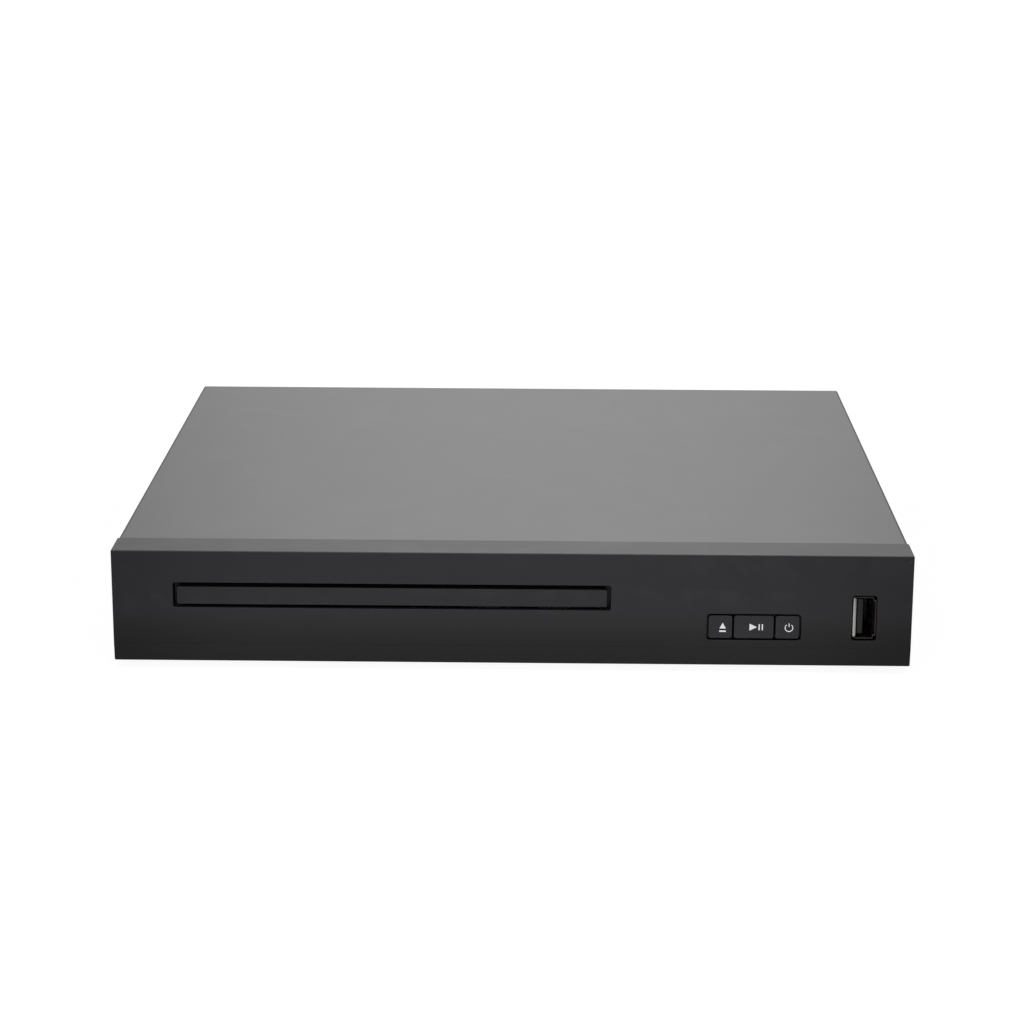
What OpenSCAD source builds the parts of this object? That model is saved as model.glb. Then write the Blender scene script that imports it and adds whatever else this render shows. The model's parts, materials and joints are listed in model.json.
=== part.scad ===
// Compact disc player with a motor-driven tray.
// Sizes are in millimetres. The pieces are drawn with y running back from the bezel's front
// face and z up from the table, and to_centre() then puts the origin under the middle.

/* [Case] */
// Width of the front bezel
case_w = 240; // [236:1:300]
// Height of the front bezel
case_h = 34.7; // [34.5:0.1:46]
// How far the bezel's top stands above the cover
bezel_proud = 0.5; // [0:0.1:0.6]
// Depth from the bezel's face to the back of the cover
case_d = 222; // [218:1:280]
// Height of the bezel's bottom edge above the table
ground_gap = 2.5; // [1.5:0.1:6]
// Thickness of the steel sheet of the chassis and the cover
sheet_t = 0.7; // [0.5:0.05:1]
// How much narrower the cover is than the bezel on each side
cover_inset = 0.05; // [0:0.05:2]
// Depth of the bezel's top and side returns
bezel_d = 15; // [14:0.5:18]
// Wall thickness of the bezel
bezel_wall = 2.2; // [1.6:0.1:2.8]
// How far the phono jacks stand out of the back wall
jack_out = 8; // [6:0.5:10]

/* [Tray] */
// Space between the case's left side and the tray
tray_margin = 20.5; // [20:0.5:40]
// Diameter of the disc that the tray carries
disc_d = 120; // [118:1:124]
// Width of the tray's rim beside the disc recess
tray_rim = 3.2; // [3:0.1:4]
// Thickness of the tray, over its side runners
tray_t = 5.2; // [5:0.1:6.8]
// How far the tray comes out
tray_travel = 133; // [100:1:136]
// Height of the tray door
door_h = 5.5; // [5.4:0.1:6.2]
// Gap between the door and each end of the slot
door_gap = 1.1; // [0.6:0.1:2]
// Depth of the door's face behind the bezel's face
door_inset = 0.8; // [0.3:0.1:1.6]

/* [Controls] */
// Height of the button opening
button_h = 8.2; // [7:0.1:10]
// Width of the eject and the power cap
outer_cap_w = 7.1; // [6.4:0.1:8]
// Width of the play cap
play_cap_w = 11.9; // [9:0.1:13]
// Gap round each button cap
button_gap = 0.55; // [0.4:0.05:0.8]
// Travel of a button
button_travel = 0.6; // [0.3:0.05:0.8]
// Width of the USB opening
usb_w = 7.4; // [7.3:0.1:9]
// Height of the USB opening
usb_h = 14.1; // [13.6:0.1:16]

/* [Mechanism] */
// Module of the rack on the tray and its pinion
rack_module = 1; // [0.9:0.05:1.1]
// Teeth of the tray's pinion
pinion_teeth = 14; // [13:1:15]
// Module of the reduction pair
wheel_module = 0.8; // [0.75:0.05:0.85]
// Teeth of the reduction wheel
wheel_teeth = 42; // [38:1:44]
// Teeth of the pinion under the belt pulley
small_teeth = 12; // [11:1:13]
// Height that the spindle drops when the disc is released
spindle_drop = 5.1; // [4:0.1:5.4]
// Sideways travel of the cam slider
cam_travel = 20; // [16:1:22]
// Radius of the pickup's guide rods
rod_r = 1.5; // [1:0.1:1.8]
// Travel of the pickup along its rods
pickup_travel = 35; // [20:1:36]
// Running clearance of a shaft in its hole
run_gap = 0.05; // [0.02:0.01:0.1]
// Clearance between pieces that only pass each other
pass_gap = 0.3; // [0.2:0.05:0.5]

/* [Hidden] */
$fn = 48;
eps = 0.01;
far = 400;
fit_gap = 0.1;

// Case: levels and places that the other pieces share
total_d = case_d + jack_out - sheet_t - fit_gap;
half_w = case_w / 2;
top_z = ground_gap + case_h;
cover_z = top_z - bezel_proud;
foot_h = ground_gap + 0.5;
floor_z = foot_h + sheet_t;
cover_half = half_w - cover_inset;
inner_half = cover_half - sheet_t - fit_gap;
cover_in_z = cover_z - sheet_t;
wall_back = case_d - sheet_t - fit_gap;
wall_front = wall_back - sheet_t;
side_flange_h = 11;
return_d = 8;
strip_z = ground_gap + 5.75;
corner_r = 0.4;
foot_r = 7;
foot_x = half_w - 22;
foot_ys = [24, case_d - 24];
screw_r = 1.5;
screw_head_r = 3;
side_screw_z = floor_z + 6;
side_screw_ys = [60, case_d - 38];
back_screw_z = cover_z - 4.6;
back_screw_xs = [-half_w + 12, 0, half_w - 12];

// Tray and loader, across and along
tray_w = disc_d + 0.6 + 2 * tray_rim;
tray_half = tray_w / 2;
tray_x = -half_w + tray_margin + tray_half;
door_w = tray_w + 2.2;
slot_w = door_w + 2 * door_gap;
door_t = 2.5;
tray_y0 = door_inset + door_t;
disc_y = 68;
tray_y1 = 163;
recess_r = disc_d / 2 + 0.3;
small_recess_r = 40.3;
spindle_slot = 19;
seat_z = floor_z + 0.5;
base_t = 1.2;
base_top = seat_z + base_t;
tray_z0 = floor_z + 16.9;
tray_z1 = tray_z0 + tray_t;
tray_under = tray_z0 + 1.4;
recess_z = tray_z1 - 2.4;
door_z0 = tray_z0 - 0.3;
slot_z0 = door_z0 - 0.8;
slot_h = door_h + 2.3;
slot_mid = slot_z0 + slot_h / 2;
loader_y0 = 4.8;
loader_y1 = 170;
guide_in = tray_half + pass_gap;
loader_half = guide_in + 2;

// Gear train of the tray
pinion_r = rack_module * pinion_teeth / 2;
wheel_r = wheel_module * wheel_teeth / 2;
small_r = wheel_module * small_teeth / 2;
rack_x = tray_x + tray_half - 7.5;
drive_x = rack_x - pinion_r;
drive_y = 24;
pulley_x = drive_x - wheel_r - small_r;
pulley_y = drive_y;
motor_x = pulley_x - 39.4;
motor_y = 23;
motor_r = 12;
motor_pulley_r = 2.9;
pulley_r = 4 * motor_pulley_r;
belt_t = 1;
wheel_z0 = floor_z + 6.1;
wheel_z1 = wheel_z0 + 3.2;
pulley_z0 = floor_z + 13.5;
pulley_z1 = pulley_z0 + 2.8;
rack_z0 = tray_z0 - 0.8;
post_top = tray_under - 0.4;
shelf_z0 = floor_z + 11.7;

// Cam slider and the frame that it lifts
cam_y0 = 42.5;
cam_y1 = 45;
cam_z0 = base_top;
pivot_y = tray_y1;
pivot_z = floor_z + 8.3;
boss_y = 44;
boss_z = floor_z + 11.8;
boss_r = 2;
boss_xs = [-14, 14];
tilt = asin(spindle_drop / (pivot_y - disc_y));
boss_drop = (pivot_y - boss_y) * sin(tilt);
frame_half = 48;
frame_in = 44.5;
frame_y0 = 47;
frame_y1 = 167;
frame_z0 = floor_z + 7.1;
frame_z1 = floor_z + 14.5;
deck_z0 = floor_z + 11.3;
deck_t = 1.2;
deck_z1 = deck_z0 + deck_t;
deck_half = 42.5;
deck_y0 = 55;
deck_y1 = 156;
damper_x = 38;
damper_ys = [59.5, 151.5];
damper_r = 4.5;

// Spindle and clamper
disc_seat = tray_z1 - 0.7;
rotor_r = 12.5;
cone_r = 7.4;
bridge_z0 = tray_z1 + 3.8;
bridge_t = 2;

// Pickup and its drive
rod_x = 24.5;
rod_z = deck_z1 + rod_r + 0.1;
rod_y0 = 77;
rod_y1 = 155;
pickup_y0 = 82;
pickup_y1 = 114;
lens_y = 91;
sled_rack_x = 33;
sled_module = 0.5;
sled_pinion_r = 3;
sled_wheel_r = 7.5;
sled_motor_r = 2.5;
sled_x = sled_rack_x + sled_pinion_r;
sled_y = 117;
sled_motor_y = sled_y + sled_wheel_r + sled_motor_r;

// Boards
board_t = 1.6;
board_z0 = floor_z + 4.3;
board_z1 = board_z0 + board_t;
main_x0 = -half_w + 6;
main_x1 = tray_x + 56;
main_y0 = loader_y1 + 2;
main_y1 = wall_front - 1;
power_x0 = half_w - 72;
power_x1 = half_w - 8;
power_y0 = 95;
power_y1 = wall_front - 1;
ribbon_z0 = board_z1 + 0.8;
ribbon_z1 = ribbon_z0 + 4.4;
fboard_y0 = 17;
fboard_x0 = half_w - 76;
fboard_x1 = half_w - 6;
fboard_z0 = ground_gap + 4.5;
fboard_z1 = cover_z - 4.7;
button_ws = [outer_cap_w, play_cap_w, outer_cap_w];
button_mid_x = half_w - 47.3;
button_mid_z = ground_gap + 12.2;
usb_x = half_w - 14.3;
usb_z = ground_gap + 15.25;
jack_z = board_z1 + 6.5;
jack_r = 4.15;
jack_xs = [-half_w + 20, -half_w + 34, -half_w + 48, -half_w + 68];
hdmi_x = -half_w + 92;
inlet_x = half_w - 34;
inlet_z = board_z1 + 7;

// Shared shapes

// Moves a piece from the drawing's frame to the finished frame
module to_centre() { translate([0, -total_d / 2, 0]) children(); }

// Box between two opposite corners
module span(lo, hi) { translate(lo) cube(hi - lo); }

// Upright cylinder between two heights
module disc(x, y, r, z0, z1) { translate([x, y, z0]) cylinder(r = r, h = z1 - z0); }

// Upright tube
module ring(x, y, r, bore, z0, z1) {
    difference() {
        disc(x, y, r, z0, z1);
        disc(x, y, bore, z0 - 1, z1 + 1);
    }
}

// Cylinder along y at a place in x and z
module rod_y(x, z, r, y0, y1) { translate([x, y1, z]) rotate([90, 0, 0]) cylinder(r = r, h = y1 - y0); }

// Cylinder along x at a place in y and z
module rod_x(y, z, r, x0, x1) { translate([x0, y, z]) rotate([0, 90, 0]) cylinder(r = r, h = x1 - x0); }

// Rectangle with round corners, about its centre
module round_rect(w, h, r) {
    square([w - 2 * r, h], center = true);
    square([w, h - 2 * r], center = true);
    for (x = [-1, 1], y = [-1, 1])
        translate([x * (w / 2 - r), y * (h / 2 - r)]) circle(r = r);
}

// Round-ended slot along its own x, about its centre
module slot_shape(length, r) {
    square([length - 2 * r, 2 * r], center = true);
    for (x = [-1, 1]) translate([x * (length / 2 - r), 0]) circle(r = r);
}

// Extrudes an outline in x and z along y
module along_y(y0, y1) { translate([0, y1, 0]) rotate([90, 0, 0]) linear_extrude(y1 - y0) children(); }

// Extrudes an outline in y and z along x
module along_x(x0, x1) { translate([x0, 0, 0]) rotate([90, 0, 90]) linear_extrude(x1 - x0) children(); }

// Extrudes an outline in x and y upwards
module along_z(z0, z1) { translate([0, 0, z0]) linear_extrude(z1 - z0) children(); }

// Copies to the left and the right
module both_sides() {
    children();
    mirror([1, 0, 0]) children();
}

// Screw with a round head, whose point looks down from the seat under its head
module pan_screw(r, head_r, head_h, length) {
    translate([0, 0, -length]) cylinder(r = r, h = length + eps);
    difference() {
        cylinder(r = head_r, h = head_h);
        for (a = [0, 90])
            rotate(a) translate([-head_r * 0.55, -0.4, head_h - 0.7]) cube([head_r * 1.1, 0.8, 1]);
    }
}

// Gears: true involute flanks, with stub teeth
stub = 0.75;
root_depth = 0.95;
pressure = 20;
backlash = 0.16;
function inv(a) = tan(a) * 180 / PI - a;
function flank(base_r, r, half) =
    let (a = acos(min(1, base_r / r)), t = half - inv(a))
    [r * sin(t), r * cos(t)];

// One tooth that points along +y
module tooth(m, teeth) {
    r = m * teeth / 2;
    base_r = r * cos(pressure);
    half = 90 / teeth + inv(pressure) - backlash * 90 / (PI * r);
    tip = r + stub * m;
    low = max(base_r, r - 0.85 * m);
    steps = 4;
    rs = [for (i = [0:steps]) low + (tip - low) * i / steps];
    foot = r - root_depth * m - 0.2;
    right = [for (q = rs) flank(base_r, q, half)];
    left = [for (i = [steps:-1:0]) [-right[i][0], right[i][1]]];
    polygon(concat([[right[0][0], foot]], right, left, [[-right[0][0], foot]]));
}

// Whole gear; a tooth points along the angle turn, measured from +x
module gear(m, teeth, turn = 0) {
    circle(r = m * teeth / 2 - root_depth * m);
    for (i = [0:teeth - 1]) rotate(turn - 90 + i * 360 / teeth) tooth(m, teeth);
}

// Rack along y whose teeth point to -x from the pitch line x = 0; one tooth is centred at y = phase
module rack(m, y0, y1, back, phase) {
    pitch = PI * m;
    half = pitch / 4 - backlash / 2;
    slope = tan(pressure);
    first = ceil((y0 + half - phase) / pitch + 0.4);
    last = floor((y1 - half - phase) / pitch - 0.4);
    translate([root_depth * m, y0]) square([back - root_depth * m, y1 - y0]);
    for (i = [first:last])
        translate([0, phase + i * pitch])
            polygon([
                [root_depth * m + 0.1, half + slope * (root_depth * m + 0.1)],
                [-stub * m, half - slope * stub * m],
                [-stub * m, -half + slope * stub * m],
                [root_depth * m + 0.1, -half - slope * (root_depth * m + 0.1)]
            ]);
}

// Case

// Outer block of the bezel: round at the front edges and at the four corners
module bezel_block() {
    mid_z = (ground_gap + top_z) / 2;
    intersection() {
        along_y(0, bezel_d) translate([0, mid_z]) round_rect(case_w, case_h, corner_r);
        along_x(-half_w, half_w) translate([bezel_d, mid_z]) round_rect(2 * bezel_d, case_h, corner_r);
        along_z(ground_gap, top_z) translate([0, bezel_d]) round_rect(case_w, 2 * bezel_d, corner_r);
    }
}

// The lower strip steps back and then leans back a little
module bezel_strip_cut() {
    along_x(-half_w - 1, half_w + 1)
        polygon([[-1, strip_z], [0.25, strip_z], [0.7, ground_gap - 1], [-1, ground_gap - 1]]);
}

module front_bezel() {
    in = half_w - 2;
    lip = 1.5;
    lip_y1 = bezel_d + 4;
    color("#29292b")
    difference() {
        union() {
            difference() {
                bezel_block();
                bezel_strip_cut();
                span([-in, bezel_wall, ground_gap + 1.5], [in, bezel_d + 1, top_z - 2]);
                span([-in, return_d, ground_gap - 1], [in, bezel_d + 1, ground_gap + 3]);
            }
            // Tongues that the cover slides over
            span([-in + 1, bezel_d - 2, cover_in_z - fit_gap - lip],
                [in - 1, lip_y1, cover_in_z - fit_gap]);
            span([-in + 1, bezel_d - 2, cover_in_z - 2.4], [in - 1, bezel_d - 0.5, cover_in_z]);
            both_sides()
                span([in - 0.8, bezel_d - 3, floor_z + side_flange_h + 1.4],
                    [inner_half, lip_y1, cover_in_z - fit_gap]);
            // Hooks that hold the edge of the chassis floor
            for (x = hook_xs) {
                span([x - 4, bezel_wall - eps, floor_z + fit_gap], [x + 4, return_d + 7, floor_z + 1.5]);
                span([x - 1.5, return_d + 3.2, foot_h], [x + 1.5, return_d + 5.8, floor_z + 0.5]);
            }
            // Posts for the front board
            for (p = front_board_posts()) rod_y(p[0], p[1], 3, bezel_wall - eps, fboard_y0);
            // Ribs beside the tray slot
            for (x = [tray_x - slot_w / 2 - 3, tray_x + slot_w / 2 + 2])
                span([x, bezel_wall - eps, ground_gap + 2 - eps],
                    [x + 1, bezel_wall + 1.6, top_z - 2 + eps]);
        }
        along_y(-1, bezel_wall + 1) translate([tray_x, slot_mid]) round_rect(slot_w, slot_h, 0.7);
        along_y(-1, bezel_wall + 1)
            translate([button_mid_x, button_mid_z]) round_rect(button_span, button_h, 1.2);
        along_y(-1, bezel_wall + 1) translate([usb_x, usb_z]) round_rect(usb_w, usb_h, 1);
        for (p = front_board_posts()) rod_y(p[0], p[1], 1.1, fboard_y0 - 8, fboard_y0 + 1);
    }
}

hook_xs = [-half_w + 8, tray_x + loader_half + 10, half_w - 12];

function front_board_posts() = [
    for (x = [fboard_x0 + 4, usb_x - 9.5], z = [fboard_z0 + 3.2, fboard_z1 - 3.2]) [x, z]
];

module feet() {
    color("#1d1d1d")
    for (x = [-foot_x, foot_x], y = foot_ys)
        translate([x, y, 0])
            difference() {
                union() {
                    translate([0, 0, 0.5]) cylinder(r = foot_r, h = foot_h - 0.5);
                    cylinder(r = foot_r - 0.5, h = 0.6);
                }
                translate([0, 0, -1]) cylinder(r = 2.6, h = 2);
            }
}

// Rows of slots for air, from a corner, in x and y
module vent_rows(x0, y0, columns, rows, pitch_x, length, z0, z1) {
    for (i = [0:columns - 1], j = [0:rows - 1])
        translate([x0 + i * pitch_x, y0 + j * (length + 4), 0])
            along_z(z0, z1) rotate(90) slot_shape(length, 1.1);
}

// Raised seat pressed out of the chassis floor, with a screw hole
module pressed_seat(x, y) {
    ring(x, y, 4, 1.2, foot_h, seat_z);
}

// Floor pan
module bottom_chassis() {
    front = return_d + pass_gap;
    bezel_in = half_w - 2 - pass_gap;
    color("#9c9fa2") {
        difference() {
            union() {
                span([-inner_half, bezel_d + pass_gap, foot_h], [inner_half, wall_back, floor_z]);
                span([-bezel_in, front, foot_h], [bezel_in, bezel_d + 1, floor_z]);
            }
            // Slots for the bezel's hooks
            for (x = hook_xs)
                span([x - 1.7, return_d + 3, foot_h - 1], [x + 1.7, return_d + 6, floor_z + 1]);
            vent_rows(half_w - 64, 110, 9, 3, 6, 22, foot_h - 1, floor_z + 1);
            vent_rows(-half_w + 22, main_y0 + 6, 16, 1, 6, 22, foot_h - 1, floor_z + 1);
            for (p = loader_seats()) disc(p[0], p[1], 1.2, foot_h - 1, floor_z + 1);
            for (p = board_seats()) disc(p[0], p[1], 1.2, foot_h - 1, floor_z + 1);
        }
        for (p = loader_seats()) pressed_seat(p[0], p[1]);
    }
}

// Back and side walls, bent from one strip that is spot-welded to the floor
module chassis_walls() {
    z0 = floor_z + fit_gap;
    side_y0 = bezel_d + 0.5;
    color("#9c9fa2")
    difference() {
        union() {
            span([-inner_half, wall_front, z0], [inner_half, wall_back, cover_in_z - 0.1]);
            both_sides() {
                span([inner_half - sheet_t, side_y0, z0], [inner_half, wall_back, floor_z + side_flange_h]);
                span([inner_half - sheet_t, wall_back - 9, z0], [inner_half, wall_back, cover_in_z - 0.4]);
            }
        }
        both_sides() for (y = side_screw_ys)
            rod_x(y, side_screw_z, screw_r + 0.2, inner_half - 2, inner_half + 2);
        for (x = back_screw_xs) rod_y(x, back_screw_z, screw_r + 0.2, wall_front - 1, wall_back + 1);
        back_cutouts();
    }
}

// Openings of the back wall
module back_cutouts() {
    for (x = jack_xs) rod_y(x, jack_z, jack_r + 1, wall_front - 1, wall_back + 1);
    along_y(wall_front - 1, wall_back + 1) translate([hdmi_x, board_z1 + 3.1]) round_rect(15.8, 6.4, 0.6);
    along_y(wall_front - 1, wall_back + 1) translate([inlet_x, inlet_z]) round_rect(24.6, 14.6, 1.5);
    for (i = [0:12])
        along_y(wall_front - 1, wall_back + 1)
            translate([half_w - 92 - i * 4, cover_z - 14]) rotate(90) slot_shape(12, 0.9);
}

module top_cover() {
    y0 = bezel_d + 0.12;
    h = cover_z - foot_h;
    color("#232325")
    difference() {
        union() {
            along_y(y0, case_d)
                translate([0, foot_h]) difference() {
                    cover_profile(cover_half, h, 0.9);
                    translate([0, -1]) cover_profile(cover_half - sheet_t, h + 1 - sheet_t, 0.3);
                }
            span([-cover_half + 0.9, case_d - sheet_t, cover_z - 9],
                [cover_half - 0.9, case_d, cover_z - 0.5]);
        }
        both_sides() for (y = side_screw_ys)
            rod_x(y, side_screw_z, screw_r + 0.2, cover_half - 2, cover_half + 2);
        for (x = back_screw_xs) rod_y(x, back_screw_z, screw_r + 0.2, case_d - 2, case_d + 1);
    }
}

// Rectangle standing on z = 0 with its two top corners round
module cover_profile(half, h, r) {
    translate([-half, 0]) square([2 * half, h - r]);
    translate([-half + r, 0]) square([2 * (half - r), h]);
    for (x = [-1, 1]) translate([x * (half - r), h - r]) circle(r = r);
}

module cover_screws() {
    color("#2b2b2d") {
        for (s = [-1, 1], y = side_screw_ys)
            translate([s * cover_half, y, side_screw_z]) rotate([0, s * 90, 0])
                pan_screw(screw_r, screw_head_r, 1.1, 5);
        for (x = back_screw_xs)
            translate([x, case_d, back_screw_z]) rotate([-90, 0, 0])
                pan_screw(screw_r, screw_head_r, 1.6, 5);
    }
}

// Buttons and front board

button_span = button_ws[0] + button_ws[1] + button_ws[2] + 4 * button_gap;
cap_h = button_h - 2 * button_gap;
button_x0 = button_mid_x - button_span / 2;
button_xs = [
    button_x0 + button_gap + button_ws[0] / 2,
    button_x0 + 2 * button_gap + button_ws[0] + button_ws[1] / 2,
    button_x0 + 3 * button_gap + button_ws[0] + button_ws[1] + button_ws[2] / 2
];
tact_t = 3.5;
stem_tip = 7.5;
stem_r = 1.7;
cap_inset = 0.1;

// Cap a little behind the bezel's face, with a flange behind the wall and a post to its switch
module button_cap(i) {
    w = button_ws[i];
    flange_y = bezel_wall + 0.15;
    left = i == 0 ? 1.2 : 0;
    right = i == 2 ? 1.2 : 0;
    color("#2a2a2c")
    translate([button_xs[i], 0, button_mid_z]) {
        along_y(cap_inset, flange_y + 1) round_rect(w, cap_h, 0.7);
        span([-w / 2 - left, flange_y, -button_h / 2 - 1],
            [w / 2 + right, flange_y + 1.2, button_h / 2 + 1]);
        rod_y(0, 0, 1.6, flange_y, stem_tip);
    }
}

module eject_button() { button_cap(0); }
module play_button() { button_cap(1); }
module power_button() { button_cap(2); }

// Plunger of one tact switch
module switch_stem(i) {
    color("#1c1c1c")
    rod_y(button_xs[i], button_mid_z, stem_r, stem_tip, fboard_y0 - tact_t + 1.2);
}

module eject_stem() { switch_stem(0); }
module play_stem() { switch_stem(1); }
module power_stem() { switch_stem(2); }

module tact_switches() {
    for (x = button_xs)
        difference() {
            color("#3a3a3c")
                span([x - 3, fboard_y0 - tact_t, button_mid_z - 3], [x + 3, fboard_y0, button_mid_z + 3]);
            rod_y(x, button_mid_z, stem_r + 0.1, fboard_y0 - tact_t - 1, fboard_y0 - tact_t + 2.2);
        }
}

// Front board, and the small board under the tray that the loading motor is wired to
module small_boards() {
    ribbon_x = fboard_x0 + 12;
    back_y = fboard_y0 + board_t;
    low_z0 = base_top + 3;
    low_z1 = low_z0 + 1.2;
    color("#3b5a33") {
        difference() {
            span([fboard_x0, fboard_y0, fboard_z0], [fboard_x1, back_y, fboard_z1]);
            for (p = front_board_posts()) rod_y(p[0], p[1], 1.3, fboard_y0 - 1, back_y + 1);
        }
        translate([tray_x, 0, 0])
            difference() {
                span([-61, 8, low_z0], [-29, 30, low_z1]);
                for (x = low_board_screw_xs) disc(x, 12, 1.1, low_z0 - 1, low_z0 + 2);
            }
    }
    // Ribbon socket on the back of the one board, and wire socket on the other
    color("#e6e2d6") {
        span([ribbon_x, back_y, ribbon_z0 - 0.4], [ribbon_x + 18, back_y + 3, ribbon_z1 + 0.4]);
        span([tray_x - 50, 20, low_z1], [tray_x - 38, 25, low_z0 + 6]);
    }
}

low_board_screw_xs = [-58, -32];

module ir_receiver() {
    color("#1a1512")
    translate([fboard_x0 + 6.5, 0, fboard_z1 - 11]) {
        span([-3, fboard_y0 - 4, -3.5], [3, fboard_y0, 3.5]);
        rod_y(0, 0.4, 2.4, fboard_y0 - 5.6, fboard_y0 - 3);
    }
}

usb_shell_w = 5.7;
usb_shell_h = 13.1;
usb_shell_t = 0.3;
usb_y0 = 0.6;
usb_y1 = fboard_y0;

// Metal shell on its side, with lips that flare out at the mouth
module usb_shell() {
    color("#c9c9c7")
    translate([usb_x, 0, usb_z])
    difference() {
        union() {
            along_y(usb_y0, usb_y1) round_rect(usb_shell_w, usb_shell_h, 0.6);
            for (s = [-1, 1])
                along_z(-5.6, 5.6)
                    polygon([
                        [s * (usb_shell_w / 2 - 0.1), usb_y0 + 1.8], [s * (usb_shell_w / 2 - 0.1), usb_y0],
                        [s * (usb_shell_w / 2 + 0.7), usb_y0], [s * (usb_shell_w / 2 + 0.7), usb_y0 + 0.3]
                    ]);
        }
        along_y(usb_y0 - 1, usb_y1 - usb_shell_t)
            round_rect(usb_shell_w - 2 * usb_shell_t, usb_shell_h - 2 * usb_shell_t, 0.3);
        for (s = [-1, 1]) along_z(-5.2, 5.2)
            polygon([
                [s * (usb_shell_w / 2 - 0.6), usb_y0 + 1.4], [s * (usb_shell_w / 2 - 0.6), usb_y0 - 0.1],
                [s * (usb_shell_w / 2 + 0.45), usb_y0 - 0.1],
                [s * (usb_shell_w / 2 - usb_shell_t), usb_y0 + 1.4]
            ]);
        // Windows of the retaining springs
        for (z = [-3, 3]) span([-far, 5, z - 0.9], [far, 8, z + 0.9]);
    }
}

// Plastic tongue with its four contacts
module usb_tongue() {
    x0 = usb_x - usb_shell_w / 2 + usb_shell_t + 0.5;
    color("#1b1b1c") {
        span([x0, usb_y0 + 1.6, usb_z - 5.55], [x0 + 1.84, usb_y1 - usb_shell_t - fit_gap, usb_z + 5.55]);
        span([usb_x - usb_shell_w / 2 + usb_shell_t + fit_gap, usb_y1 - 3.5, usb_z - 6.1],
            [usb_x + usb_shell_w / 2 - usb_shell_t - fit_gap, usb_y1 - usb_shell_t - fit_gap, usb_z + 6.1]);
    }
    color("#d8b04c")
    for (z = [-3.5, -1, 1, 3.5])
        span([x0 + 1.7, usb_y0 + 2.4, usb_z + z - 0.5], [x0 + 1.98, usb_y1 - 4, usb_z + z + 0.5]);
}

// Tray and loader

ledge_in = tray_half - 1.2;
rack_back = ledge_in - pass_gap - (rack_x - tray_x);
rack_y0 = tray_y0 + 4.7;
rack_y1 = tray_y1 - 3;

module tray_outline() {
    translate([tray_x - tray_half, tray_y0]) square([tray_w, tray_y1 - tray_y0 - 5]);
    translate([tray_x - tray_half + 5, tray_y0]) square([tray_w - 10, tray_y1 - tray_y0]);
    for (s = [-1, 1]) translate([tray_x + s * (tray_half - 5), tray_y1 - 5]) circle(r = 5);
}

module disc_tray() {
    color("#2c2c2d")
    difference() {
        union() {
            along_z(tray_under, tray_z1) tray_outline();
            for (s = [-1, 1])
                translate([tray_x + s * (tray_half - 1), 0])
                    span([-1, tray_y0, tray_z0], [1, tray_y1 - 4, tray_under + eps]);
            span([tray_x - tray_half, tray_y0, tray_z0],
                [tray_x + tray_half, tray_y0 + 2, tray_under + eps]);
            translate([rack_x, 0])
                along_z(rack_z0, tray_under + eps)
                    rack(rack_module, rack_y0, rack_y1, rack_back, drive_y + PI * rack_module / 2);
        }
        disc(tray_x, disc_y, recess_r, recess_z, tray_z1 + 1);
        disc(tray_x, disc_y, small_recess_r, recess_z - 0.7, tray_z1 + 1);
        // Opening for the spindle and the pickup, which is free at the back
        disc(tray_x, disc_y, spindle_slot, tray_z0 - 1, tray_z1 + 1);
        span([tray_x - spindle_slot, disc_y, tray_z0 - 1],
            [tray_x + spindle_slot, tray_y1 + 1, tray_z1 + 1]);
        // Scoops for the fingers
        for (s = [-1, 1]) disc(tray_x + s * 47, disc_y - 47, 9.5, recess_z - 0.7, tray_z1 + 1);
        // Sockets for the door's tongues
        for (s = [-1, 1])
            translate([tray_x + s * 30, 0, 0])
                span([-4.1, tray_y0 - 1, tray_under - 0.1], [4.1, tray_y0 + 3.1, tray_under + 1.9]);
    }
}

module tray_door() {
    color("#2a2a2c")
    translate([tray_x, 0, 0]) {
        difference() {
            along_y(door_inset, tray_y0) translate([0, door_z0 + door_h / 2])
                round_rect(door_w, door_h, 0.5);
            // Shallow pocket behind the face
            span([-door_w / 2 + 6, door_inset + 1.5, door_z0 + 1.2],
                [-36, tray_y0 + 1, door_z0 + door_h - 1.2]);
            span([36, door_inset + 1.5, door_z0 + 1.2],
                [door_w / 2 - 6, tray_y0 + 1, door_z0 + door_h - 1.2]);
        }
        for (s = [-1, 1])
            translate([s * 30, 0, 0])
                span([-4, tray_y0 - eps, tray_under], [4, tray_y0 + 3, tray_under + 1.8]);
    }
}

function loader_seats() = [
    for (s = [-1, 1], y = [27, 156]) [tray_x + s * (loader_half + 4.5), y]
];

post_r = 2;
small_post_r = 1.5;
guide_pin_xs = [-13, 17];
guide_pin_y = 39.5;
cam_plate_z0 = floor_z + 10.3;
cam_plate_t = 2;
shelf_t = 1.4;
bridge_half = guide_in + 7;
bridge_screw_x = guide_in + 4;

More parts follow.
